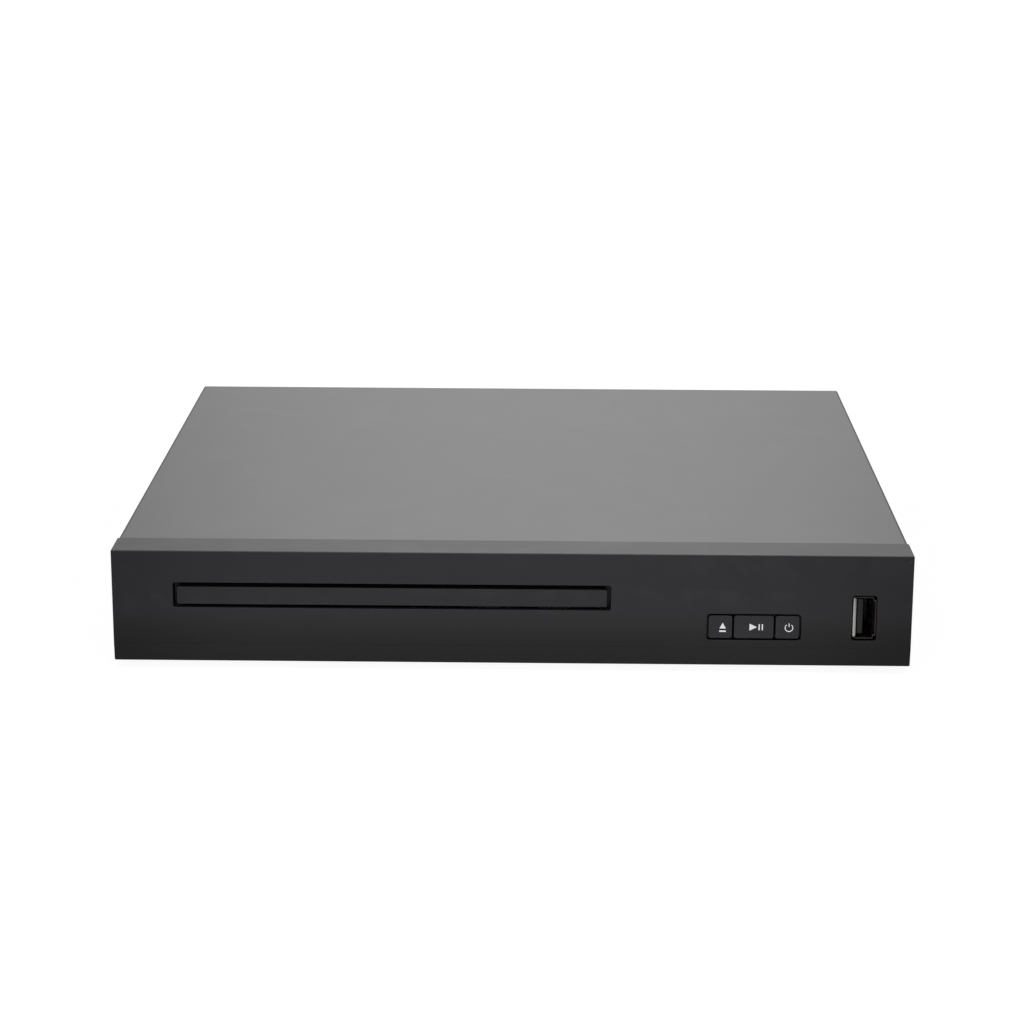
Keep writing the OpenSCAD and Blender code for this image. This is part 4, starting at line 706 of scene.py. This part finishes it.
# %% [markdown]
# ### Circuit boards
# A board is glass cloth or phenolic paper under lacquer, with copper tracks that show as
# slightly raised, paler lanes. Tracks run square to each other, so two sets of bands are taken
# from the board's own x and y, and a slow noise decides where each lane exists. The front board
# stands upright, so height is added to y, and its tracks run up as well as across.

# %% Circuit board
TRACK_PITCH = 0.0017
LANE_MIDDLE, LANE_HALF_WIDTH = 0.5, 0.2
LEAST_ACROSS, LEAST_ALONG = 0.5, 0.52
TRACK_DEPTH = 0.00004
BOARD_TONES = (0.85, 1.15)
BOARD_DUST = (0.35, 0.34, 0.3)
BOARD_ROUGHNESS = 0.32
BOARD_CHANGES = (-0.04, 0.1)


def build_board_tracks():
    tree, entry, leave = new_group("board_tracks", {"Pitch": TRACK_PITCH}, ("Track", "Weave"))
    position = object_position(tree)
    place = add_node(tree, "ShaderNodeSeparateXYZ")
    join(tree, position, place.inputs[0])
    across = noise(tree, position, Scale=75.0, Detail=1.0)
    along = math_node(tree, "SUBTRACT", 1.0, across)
    back_or_up = math_node(tree, "ADD", place.outputs["Y"], place.outputs["Z"])
    lanes = []
    for way, patch, least in (
            (place.outputs["X"], across, LEAST_ACROSS), (back_or_up, along, LEAST_ALONG)):
        step = math_node(tree, "FRACT", math_node(tree, "DIVIDE", way, entry.outputs[0]))
        off_middle = math_node(tree, "SUBTRACT", step, LANE_MIDDLE)
        aside = math_node(tree, "ABSOLUTE", off_middle)
        band = math_node(tree, "LESS_THAN", aside, LANE_HALF_WIDTH)
        here = math_node(tree, "GREATER_THAN", patch, least)
        lanes.append(math_node(tree, "MULTIPLY", band, here))
    weave = noise(tree, position, Scale=2600.0, Detail=1.0)
    set_inputs(tree, leave, Track=math_node(tree, "MAXIMUM", *lanes), Weave=weave)
    return tree


BOARD_TRACKS = build_board_tracks()


def circuit_board(name, lacquer, track):
    material, tree, shader = start_material(name, lacquer, BOARD_ROUGHNESS)
    lanes = place_group(tree, BOARD_TRACKS).outputs
    tone = place_group(tree, SLOW_TONE).outputs
    body = two_tones(tree, lanes["Weave"], lacquer, BOARD_TONES)
    tracked = mix_tones(tree, lanes["Track"], body, track)
    join(tree, mix_tones(tree, tone["Dust"], tracked, BOARD_DUST), shader.inputs["Base Color"])
    vary_roughness(tree, shader, tone["Smudge"], BOARD_ROUGHNESS, BOARD_CHANGES)
    add_bump(tree, shader, lanes["Track"], TRACK_DEPTH)
    return material


print("group", BOARD_TRACKS.name, "and recipe circuit_board")

# %% [markdown]
# ### Ribbons, sleeves and windings
# Under a flat cable's film the copper shows as fine parallel bands. The drawn lines of the
# metals give them too, with the film's colour and the copper's in place of two tones of metal.

# %% Ribbons, sleeves and windings
FILM_DARK = 0.8
FILM_DEPTH = 0.00003
FILM_CHANGES = (-0.08, 0.08)
ALONG_RIBBON = (300.0, 300.0, 1100.0)


def banded_film(name, film, band, stretch, roughness=0.4):
    material, tree, shader = start_material(name, film, roughness)
    lines = place_group(tree, DRAW_LINES, Stretch=stretch).outputs
    tone = place_group(tree, SLOW_TONE).outputs
    banded = mix_tones(tree, lines["Lines"], film, band)
    drifted = mix_tones(tree, tone["Drift"], banded, shade(film, FILM_DARK))
    join(tree, drifted, shader.inputs["Base Color"])
    vary_roughness(tree, shader, tone["Smudge"], roughness, FILM_CHANGES)
    add_bump(tree, shader, lines["Height"], FILM_DEPTH)
    return material


print("recipe banded_film")

# %% [markdown]
# ### The palette
# The record gives each node a slot, and each slot is one real material. So the palette has one
# entry per slot, with the recipe and the values that the real thing needs: the front is the
# finest grain, hidden mouldings are smoother, and the bare metals differ in tone more than in
# gloss. Each entry gives a name, a colour and a roughness, then what differs from the recipe;
# boards and films give two colours, and a board has its recipe's roughness.

# %% Palette
FRONT_BLACK = (0.0086, 0.0083, 0.0104)
COVER_BLACK = (0.017, 0.017, 0.0175)

palette = {
    # The front's plastic carries painted shade at its foot.
    "bezel_plastic": front_plastic_painted_shade(
        "front_black_plastic_painted_shade", FRONT_BLACK, 0.38, specular=0.34, cells=3000.0, depth=0.000006),
    "button_plastic": moulded_plastic(
        "button_black_plastic", FRONT_BLACK, 0.36, specular=0.33, cells=3400.0, depth=0.000004),
    "painted_sheet": coated_steel("cover_satin_powder", COVER_BLACK, 0.34, specular=0.6),
    "black_screw": coated_steel(
        "black_zinc_screw", (0.03, 0.03, 0.032), 0.35, humps=2400.0, depth=0.000004),
    "foot_rubber": soft_rubber("foot_rubber_black", (0.018, 0.018, 0.018)),
    "damper_rubber": soft_rubber("damper_rubber_brown", (0.022, 0.018, 0.014)),
    "belt_rubber": soft_rubber("belt_rubber_black", (0.014, 0.014, 0.014), 0.65),
    "zinc_sheet": worked_metal("galvanised_steel", (0.56, 0.57, 0.575), 0.42, cloud=0.9),
    # The socket's shell: nickel darkened to a painted shade, as it lies in shadow inside the
    # opening.
    "dark_shell": worked_metal(
        "nickel_shell_painted_shade", (0.06, 0.052, 0.048), 0.42, stretch=ALONG_Y, cloud=0.9),
    "tinned_steel": worked_metal(
        "nickel_plated_shell", (0.68, 0.67, 0.645), 0.26, stretch=ALONG_Y, cloud=0.88),
    "switch_body": worked_metal("tinned_switch_frame", (0.5, 0.5, 0.49), 0.38),
    "zinc_screw": worked_metal("zinc_plated_screw", (0.6, 0.6, 0.58), 0.32, stretch=AROUND_Z),
    "magnet_metal": worked_metal(
        "nickel_plated_magnet", (0.62, 0.61, 0.58), 0.2, stretch=AROUND_Z),
    "motor_can": worked_metal("drawn_motor_can", (0.55, 0.55, 0.54), 0.34, stretch=AROUND_Z),
    "motor_core": worked_metal(
        "stacked_motor_core", (0.4, 0.3, 0.22), 0.45, stretch=AROUND_Z, depth=0.00002),
    "polished_rod": worked_metal(
        "ground_steel_rod", (0.66, 0.66, 0.66), 0.14, stretch=ALONG_Y, depth=0.000001),
    "brass_part": worked_metal("turned_brass", (0.72, 0.53, 0.24), 0.28, stretch=AROUND_Z),
    "nickel_pin": worked_metal(
        "nickel_plated_pin", (0.7, 0.68, 0.62), 0.2, stretch=ALONG_Y, depth=0.000001),
    "raw_aluminium": worked_metal(
        "extruded_aluminium", (0.66, 0.665, 0.68), 0.36, stretch=AROUND_Z),
    "pickup_metal": cast_metal("die_cast_pickup", (0.42, 0.42, 0.43), 0.48),
    "ferrite_core": cast_metal("ferrite_core_grey", (0.07, 0.065, 0.06), 0.6, metallic=0.2),
    "stem_plastic": moulded_plastic("moulded_black_part", (0.02, 0.02, 0.021), 0.42, cells=1900.0),
    "tray_plastic": moulded_plastic(
        "tray_black_plastic", (0.022, 0.022, 0.023), 0.4, cells=2200.0, depth=0.000016),
    "loader_plastic": moulded_plastic(
        "loader_black_plastic", (0.014, 0.014, 0.015), 0.5, cells=1600.0),
    "deck_plastic": moulded_plastic(
        "glass_filled_deck", (0.07, 0.07, 0.074), 0.5, cells=1100.0, depth=0.00002),
    "gear_plastic": moulded_plastic(
        "natural_acetal", (0.72, 0.7, 0.64), 0.38, cells=1500.0, rubbed=1.1),
    "tongue_plastic": moulded_plastic(
        "black_socket_tongue", (0.011, 0.0102, 0.01), 0.4,
        cells=1700.0, depth=0.000006, specular=0.3),
    "inlet_plastic": moulded_plastic(
        "inlet_black_plastic", (0.018, 0.018, 0.019), 0.3, cells=1900.0, depth=0.000006),
    "chip_black": moulded_plastic("chip_epoxy", (0.02, 0.02, 0.022), 0.5, cells=3600.0),
    "ir_plastic": moulded_plastic(
        "infrared_window", (0.02, 0.008, 0.01), 0.16, cells=1200.0, depth=0.000002),
    "film_plastic": moulded_plastic(
        "filter_film_body", (0.5, 0.2, 0.04), 0.3, cells=900.0, rubbed=1.1),
    "green_board": circuit_board("green_circuit_board", (0.02, 0.11, 0.045), (0.05, 0.2, 0.085)),
    "tan_board": circuit_board("phenolic_circuit_board", (0.4, 0.26, 0.11), (0.5, 0.35, 0.17)),
    "capacitor_sleeve": banded_film(
        "capacitor_sleeve_blue", (0.012, 0.02, 0.05), (0.02, 0.03, 0.07), AROUND_Z, 0.25),
    "ribbon_film": banded_film(
        "flat_cable_film", (0.74, 0.72, 0.66), (0.5, 0.47, 0.4), ALONG_RIBBON),
    "wire_plastic": banded_film(
        "wire_sleeve_red", (0.42, 0.03, 0.02), (0.5, 0.05, 0.03), ALONG_X, 0.35),
}
print("recipes used", len(palette))

# %% [markdown]
# The pickup's lens is a coated bead in a black holder. Clear glass would show an empty holder,
# as the solid has nothing behind it. So it is a dark gloss whose tint turns from blue to violet
# as the surface tilts away, which is how the coating looks.

# %% The lens, and every node's finish
LENS_TINTS = ((0.01, 0.03, 0.09), (0.12, 0.05, 0.14))
LENS_SMEAR = (0.03, 0.04, 0.06)
FACING_BLEND = 0.35


def build_lens():
    material, tree, shader = start_material(
        "coated_pickup_lens", (0.02, 0.03, 0.06), 0.05, specular=0.7)
    facing = set_inputs(tree, add_node(tree, "ShaderNodeLayerWeight"), Blend=FACING_BLEND)
    smudge = place_group(tree, SLOW_TONE).outputs["Smudge"]
    glow = mix_tones(tree, facing.outputs["Facing"], *LENS_TINTS)
    join(tree, mix_tones(tree, smudge, glow, LENS_SMEAR), shader.inputs["Base Color"])
    shader.inputs["Coat Weight"].default_value = 1.0
    return material


palette["lens_glass"] = build_lens()
for node, obj in nodes.items():
    for holder in obj.material_slots:
        holder.material = palette[slot_of_node[node]]
print("finishes", len(palette), "slots used", len(set(slot_of_node.values())))

# %% [markdown]
# ## Soft edges
# No moulded or folded edge is perfectly sharp: a tool's corner has a small radius, and that
# radius is what catches a thin line of light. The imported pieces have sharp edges, so each
# piece that shows gets a copy with its corners rounded. A copy is first welded, and its flat
# triangles are merged into whole faces, because a bevel runs cleanly only along real edges.
# Sheet metal gets less rounding than plastic, as a cut edge is sharper than a moulded one.
# The bezel stands half a millimetre above the cover, and its back edge slopes down to it.

# %% Helpers for pieces
WELD = 0.002 * MM
FLAT = radians(0.6)
CREASE = radians(24)
SMOOTH_UNDER = radians(40)


def welded_bmesh(mesh):
    bm = bmesh.new()
    bm.from_mesh(mesh)
    bmesh.ops.remove_doubles(bm, verts=bm.verts, dist=WELD)
    bmesh.ops.dissolve_degenerate(bm, dist=WELD, edges=bm.edges)
    bmesh.ops.dissolve_limit(bm, angle_limit=FLAT, verts=bm.verts, edges=bm.edges)
    return bm


def creases(bm):
    return [e for e in bm.edges if len(e.link_faces) == 2 and e.calc_face_angle() > CREASE]


def shade_smoothly(mesh):
    mesh.polygons.foreach_set("use_smooth", [True] * len(mesh.polygons))
    mesh.set_sharp_from_angle(angle=SMOOTH_UNDER)


def piece_from(bm, name, material, smooth=False):
    """Puts a finished bmesh in the scene as one piece."""
    mesh = bpy.data.meshes.new(name)
    bm.to_mesh(mesh)
    bm.free()
    if smooth:
        shade_smoothly(mesh)
    mesh.materials.append(material)
    piece = bpy.data.objects.new(name, mesh)
    scene.collection.objects.link(piece)
    return piece


print("edges over", round(CREASE, 3), "rad are rounded")

# %% Rounded copies
BACK_SLOPE = 1.6 * MM
SLOPE_FOOT = 0.4 * MM
BEHIND_THE_SEAM = 0.5 * MM
AFTER_CUT = 0.001 * MM
EDGE_SEGMENTS = 2
ROUND_PROFILE = 0.5


def slope_back_edge(bm):
    """Cuts the bezel round just under the cover's top, and draws the edge above forwards."""
    cover_low, cover_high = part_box("top_cover")
    foot = Vector((0, 0, cover_high.z - SLOPE_FOOT))
    whole = bm.verts[:] + bm.edges[:] + bm.faces[:]
    bmesh.ops.bisect_plane(bm, geom=whole, dist=AFTER_CUT, plane_co=foot, plane_no=(0, 0, 1))
    for vert in bm.verts:
        if vert.co.z > cover_high.z and vert.co.y > cover_low.y - BEHIND_THE_SEAM:
            vert.co.y -= BACK_SLOPE
    bmesh.ops.dissolve_limit(bm, angle_limit=FLAT, verts=bm.verts, edges=bm.edges)


def rounded_copy(node, radius):
    """A copy of the node with its edges rounded, riding on the same body."""
    bm = welded_bmesh(nodes[node].data)
    if node == "front_bezel":
        slope_back_edge(bm)
    bmesh.ops.bevel(
        bm, geom=creases(bm), offset=radius, segments=EDGE_SEGMENTS, profile=ROUND_PROFILE,
        affect="EDGES", clamp_overlap=False)
    bmesh.ops.remove_doubles(bm, verts=bm.verts, dist=AFTER_CUT)
    piece = piece_from(bm, node + "_rounded", palette[slot_of_node[node]], smooth=True)
    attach(piece, body_of_node[node])
    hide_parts(node)
    weighted = piece.modifiers.new("even_shading", "WEIGHTED_NORMAL")
    weighted.keep_sharp = True
    return piece


FOOT_EDGE = 0.5 * MM
PLASTIC_EDGE = 0.25 * MM
SMALL_EDGE = 0.15 * MM
SHEET_EDGE = 0.1 * MM
THIN_SHEET_EDGE = 0.05 * MM
edge_radii = {
    "front_bezel": SMALL_EDGE, "tray_door": SMALL_EDGE, "disc_tray": PLASTIC_EDGE,
    "mains_inlet": PLASTIC_EDGE, "feet": FOOT_EDGE,
    "eject_button": SMALL_EDGE, "play_button": SMALL_EDGE, "power_button": SMALL_EDGE,
    "phono_block": SMALL_EDGE, "usb_tongue": PLASTIC_EDGE,
    "turntable": SMALL_EDGE, "clamper": SMALL_EDGE, "clamper_cap": SMALL_EDGE,
    "loader_frame": SMALL_EDGE, "traverse_frame": SMALL_EDGE, "traverse_deck": SMALL_EDGE,
    "optical_pickup": SMALL_EDGE,
    "top_cover": SHEET_EDGE, "bottom_chassis": SHEET_EDGE, "chassis_walls": SHEET_EDGE,
    "clamp_bridge": SHEET_EDGE,
    "usb_shell": THIN_SHEET_EDGE, "hdmi_socket": THIN_SHEET_EDGE,
    "phono_sleeves": SHEET_EDGE, "cover_screws": SHEET_EDGE,
}
rounded = {node: rounded_copy(node, radius) for node, radius in edge_radii.items()}
for node, piece in rounded.items():
    print(node, len(nodes[node].data.polygons), "->", len(piece.data.polygons))

# %% [markdown]
# ## Printed signs
# The three caps carry the usual signs for eject, play or pause, and power, in white pad-printed
# ink. A print could be painted by the material, but small crisp shapes there need masks that
# fight with the grain. So each sign is a real film of ink, cut to its outline and pressed a
# little into the cap, so that it stands two hundredths of a millimetre proud.

# %% Ink
INK_PROUD = 0.02 * MM
INK_DEPTH = 0.03 * MM
INK_WHITE = (0.86, 0.86, 0.86)
INK_ROUGHNESS = 0.45
INK_CELLS, INK_GRAIN_DEPTH = 5200.0, 0.000003
INK_PIT_TONE = 0.88


def make_ink():
    material, tree, shader = start_material("white_pad_print", INK_WHITE, INK_ROUGHNESS)
    grain = place_group(tree, MOULD_GRAIN, Cells_per_metre=INK_CELLS).outputs
    pitted = mix_tones(tree, grain["Pits"], INK_WHITE, shade(INK_WHITE, INK_PIT_TONE))
    join(tree, pitted, shader.inputs["Base Color"])
    add_bump(tree, shader, grain["Height"], INK_GRAIN_DEPTH)
    return material


white_ink = make_ink()


def bridge(bm, here, ahead):
    """A band of faces between two rings of as many points."""
    for i in range(len(here)):
        j = (i + 1) % len(here)
        bm.faces.new((here[i], here[j], ahead[j], ahead[i]))


def prism(bm, outline, front, back):
    """A closed film between two depths, from an outline in x and z."""
    near = [bm.verts.new((x, front, z)) for x, z in outline]
    far = [bm.verts.new((x, back, z)) for x, z in outline]
    bm.faces.new(near)
    bm.faces.new(list(reversed(far)))
    bridge(bm, far, near)


def rectangle(x, z, width, height):
    w, h = width / 2, height / 2
    return [(x - w, z - h), (x + w, z - h), (x + w, z + h), (x - w, z + h)]


def ink_sign(name, button, outlines, shift=(0.0, 0.0)):
    """Ink on a cap: outlines in millimetres from the middle of its face, plus a shift."""
    low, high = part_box(button)
    middle_x = (low.x + high.x) / 2 + shift[0] * MM
    middle_z = (low.z + high.z) / 2 + shift[1] * MM
    bm = bmesh.new()
    for outline in outlines:
        placed = [(middle_x + x * MM, middle_z + z * MM) for x, z in outline]
        prism(bm, placed, low.y - INK_PROUD, low.y + INK_DEPTH)
    bmesh.ops.recalc_face_normals(bm, faces=bm.faces)
    sign = piece_from(bm, name, white_ink)
    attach(sign, body_of_node[button])
    return sign


print("ink", INK_WHITE)

# %% [markdown]
# The eject sign is a triangle over a bar, play or pause a triangle and two bars, and power a
# ring that is open at the top with a bar in the gap. Each is written in millimetres from the
# middle of its cap. The eject and power signs sit a little off the middle.

# %% Signs
TRIANGLE_W, TRIANGLE_H = 1.95, 1.8
BAR_W, BAR_H, BAR_DROP = 1.95, 0.5, 0.6
PLAY_W, PLAY_H, PLAY_LEFT = 2.25, 2.2, -1.3
PAUSE_W, PAUSE_H, PAUSE_AT = 0.38, 1.9, (1.6, 2.55)
RING_R, RING_LINE, RING_STEPS = 1.15, 0.27, 30
RING_GAP = radians(38)
POWER_BAR_H, POWER_BAR_AT = 1.1, 0.85
EJECT_SHIFT = (1.3, -0.5)
POWER_SHIFT = (-0.1, -0.15)


def open_ring(radius, width, gap):
    """A ring that is open at the top, by an angle on each side of upright."""
    start, end = pi / 2 + gap, 2.5 * pi - gap
    angles = [start + (end - start) * i / RING_STEPS for i in range(RING_STEPS + 1)]
    outer, inner = radius + width / 2, radius - width / 2
    outward = [(outer * cos(a), outer * sin(a)) for a in angles]
    return outward + [(inner * cos(a), inner * sin(a)) for a in reversed(angles)]


eject_outlines = [
    [(-TRIANGLE_W / 2, 0), (TRIANGLE_W / 2, 0), (0, TRIANGLE_H)],
    rectangle(0, -BAR_DROP - BAR_H / 2, BAR_W, BAR_H),
]
play_outlines = [[(PLAY_LEFT, -PLAY_H / 2), (PLAY_LEFT + PLAY_W, 0), (PLAY_LEFT, PLAY_H / 2)]]
play_outlines += [rectangle(x, 0, PAUSE_W, PAUSE_H) for x in PAUSE_AT]
power_outlines = [
    open_ring(RING_R, RING_LINE, RING_GAP),
    rectangle(0, POWER_BAR_AT, RING_LINE, POWER_BAR_H),
]
signs = [
    ink_sign("eject_sign", "eject_button", eject_outlines, EJECT_SHIFT),
    ink_sign("play_sign", "play_button", play_outlines),
    ink_sign("power_sign", "power_button", power_outlines, POWER_SHIFT),
]
for sign in signs:
    print(sign.name, round(sign.dimensions.x / MM, 2), round(sign.dimensions.z / MM, 2))

# %% [markdown]
# ## The lip of the data socket
# The shell's nickel is darkened to a painted shade, as it lies in shadow inside the opening. Its
# left spring, where it curls round the edge of the opening, keeps the bright nickel, and that curl
# is the only bright thing on the front. It is a strip bent to an open hook: one profile, drawn out
# upwards, with its two ends nipped in.

# %% Spring lip
LIP_HEIGHT = 12.2 * MM
LIP_LIFT = 0.2 * MM
LIP_END = 0.5 * MM
END_SHARE = 0.55
lip_profile = [
    (-3.58, 0.95), (-3.53, 0.62), (-3.38, 0.45), (-3.1, 0.38), (-2.75, 0.4), (-2.5, 0.52),
    (-2.56, 0.66), (-2.8, 0.56), (-3.1, 0.54), (-3.28, 0.6), (-3.36, 0.72), (-3.4, 0.95),
]


def drawn_strip(name, profile, middle, height, end, material):
    """An upright bent strip, drawn in towards the middle of its profile at each end."""
    mean_x = sum(x for x, _ in profile) / len(profile)
    mean_y = sum(y for _, y in profile) / len(profile)
    half = height / 2
    bm = bmesh.new()
    rings = []
    for level, share in (
            (-half, END_SHARE), (-half + end, 1.0), (half - end, 1.0), (half, END_SHARE)):
        rings.append([bm.verts.new((
            middle.x + (mean_x + (x - mean_x) * share) * MM,
            middle.y + (mean_y + (y - mean_y) * share) * MM,
            middle.z + level,
        )) for x, y in profile])
    for low_ring, high_ring in zip(rings, rings[1:]):
        bridge(bm, low_ring, high_ring)
    bm.faces.new(rings[0])
    bm.faces.new(rings[-1])
    bmesh.ops.recalc_face_normals(bm, faces=bm.faces)
    return piece_from(bm, name, material, smooth=True)


bright_nickel = worked_metal(
    "spring_lip_nickel", (0.5, 0.49, 0.47), 0.3, stretch=ALONG_Z, depth=0.000002)
shell_low, shell_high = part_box("usb_shell")
face_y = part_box("front_bezel")[0].y
lip_x = (shell_low.x + shell_high.x) / 2
lip_middle = Vector((lip_x, face_y, (shell_low.z + shell_high.z) / 2 + LIP_LIFT))
lip = drawn_strip("usb_spring_lip", lip_profile, lip_middle, LIP_HEIGHT, LIP_END, bright_nickel)
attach(lip, "case")
print("lip", [round(d / MM, 2) for d in lip.dimensions])

# %% [markdown]
# ## Jack cores
# The plastic core of each phono jack is coloured by its signal: yellow for the picture, white
# and red for sound, orange for digital sound. A cylinder with a hole cut in it would do, but one
# closed profile turned about the axis, as on a lathe, also chamfers the mouth for the pin.

# %% Lathe and cores
JACK_COLOURS = {
    "video_jack_core": (0.75, 0.5, 0.02),
    "left_jack_core": (0.72, 0.72, 0.7),
    "right_jack_core": (0.55, 0.02, 0.02),
    "digital_jack_core": (0.62, 0.2, 0.02),
}
CORE_R = 2.66 * MM
CORE_HOLE_R = 1.58 * MM
CORE_LENGTH = 4.6 * MM
CORE_INSET = 0.9 * MM
CHAMFER = 0.3 * MM
TURN_STEPS = 40


def lathe(name, profile, centre, material):
    """Turns a closed profile of (radius, distance back) about an axis along y."""
    bm = bmesh.new()
    rings = []
    for step in range(TURN_STEPS):
        a = 2 * pi * step / TURN_STEPS
        rings.append([
            bm.verts.new((centre.x + r * cos(a), centre.y + y, centre.z + r * sin(a)))
            for r, y in profile
        ])
    for here, ahead in zip(rings, rings[1:] + rings[:1]):
        bridge(bm, here, ahead)
    bmesh.ops.recalc_face_normals(bm, faces=bm.faces)
    return piece_from(bm, name, material, smooth=True)


jacks = [m for m in frame["record"]["mounts"] if m["name"].endswith("_contact")]
jacks.sort(key=lambda m: m["pos_m"][0])
mouth_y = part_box("phono_sleeves")[1].y - CORE_INSET
core_profile = [
    (CORE_R, -CORE_LENGTH), (CORE_R, -CHAMFER), (CORE_R - CHAMFER, 0), (CORE_HOLE_R + CHAMFER, 0),
    (CORE_HOLE_R, -CHAMFER), (CORE_HOLE_R, -CORE_LENGTH),
]
for jack, (name, colour) in zip(jacks, JACK_COLOURS.items()):
    centre = Vector((jack["pos_m"][0], mouth_y, jack["pos_m"][2]))
    core_plastic = moulded_plastic(
        name + "_plastic", colour, 0.3, cells=1500.0, depth=0.000004, rubbed=1.1)
    core = lathe(name, core_profile, centre, core_plastic)
    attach(core, "case")
print("cores at", [round(j["pos_m"][0], 4) for j in jacks])

# %% [markdown]
# ## The inside of the digital video socket
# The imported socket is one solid, so its tongue has the nickel of its shell. On the real socket
# the mouth is lined by the black moulding that carries the tongue and its gilt contacts: ten on
# this side, a millimetre apart. So a black plug with the mouth's own outline fills the back of
# the shell, the tongue gets a black sleeve, and thin gilt strips lie on it.

# %% Video socket lining
MOUTH_HALF_W, MOUTH_HALF_H, MOUTH_CORNER = 7.0, 2.2, 1.54
MOUTH_BACK, MOUTH_FLOOR = 9.5, 8.6
TONGUE_W, TONGUE_LOW, TONGUE_HIGH, TONGUE_FRONT = 12.52, -0.36, 0.66, 1.5
CONTACTS, CONTACT_PITCH, CONTACT_W, CONTACT_T, CONTACT_FRONT = 10, 1.0, 0.44, 0.08, 2.0


def prisms(name, parts, middle, slot):
    """One piece from prisms: outlines in x and z, and two depths, in millimetres."""
    bm = bmesh.new()
    for outline, front, back in parts:
        placed = [(middle.x + x * MM, middle.z + z * MM) for x, z in outline]
        prism(bm, placed, middle.y - front * MM, middle.y - back * MM)
    bmesh.ops.recalc_face_normals(bm, faces=bm.faces)
    piece = piece_from(bm, name, palette[slot])
    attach(piece, "case")
    return piece


socket_low, socket_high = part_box("hdmi_socket")
mouth = (socket_low + socket_high) / 2
mouth.y = socket_high.y
narrow = MOUTH_HALF_W - MOUTH_CORNER
shoulder = MOUTH_CORNER - MOUTH_HALF_H
mouth_outline = [
    (-MOUTH_HALF_W, MOUTH_HALF_H), (MOUTH_HALF_W, MOUTH_HALF_H), (MOUTH_HALF_W, shoulder),
    (narrow, -MOUTH_HALF_H), (-narrow, -MOUTH_HALF_H), (-MOUTH_HALF_W, shoulder),
]
tongue = rectangle(0, (TONGUE_LOW + TONGUE_HIGH) / 2, TONGUE_W, TONGUE_HIGH - TONGUE_LOW)
lining_parts = [(mouth_outline, MOUTH_FLOOR, MOUTH_BACK), (tongue, TONGUE_FRONT, MOUTH_FLOOR)]
lining = prisms("video_socket_lining", lining_parts, mouth, "tongue_plastic")
strips = []
for i in range(CONTACTS):
    x = (i - (CONTACTS - 1) / 2) * CONTACT_PITCH
    strips.append((rectangle(x, TONGUE_LOW, CONTACT_W, CONTACT_T), CONTACT_FRONT, MOUTH_FLOOR))
gilt = prisms("video_socket_contacts", strips, mouth, "brass_part")
print("lining", [round(d / MM, 1) for d in lining.dimensions], "contacts", len(strips))
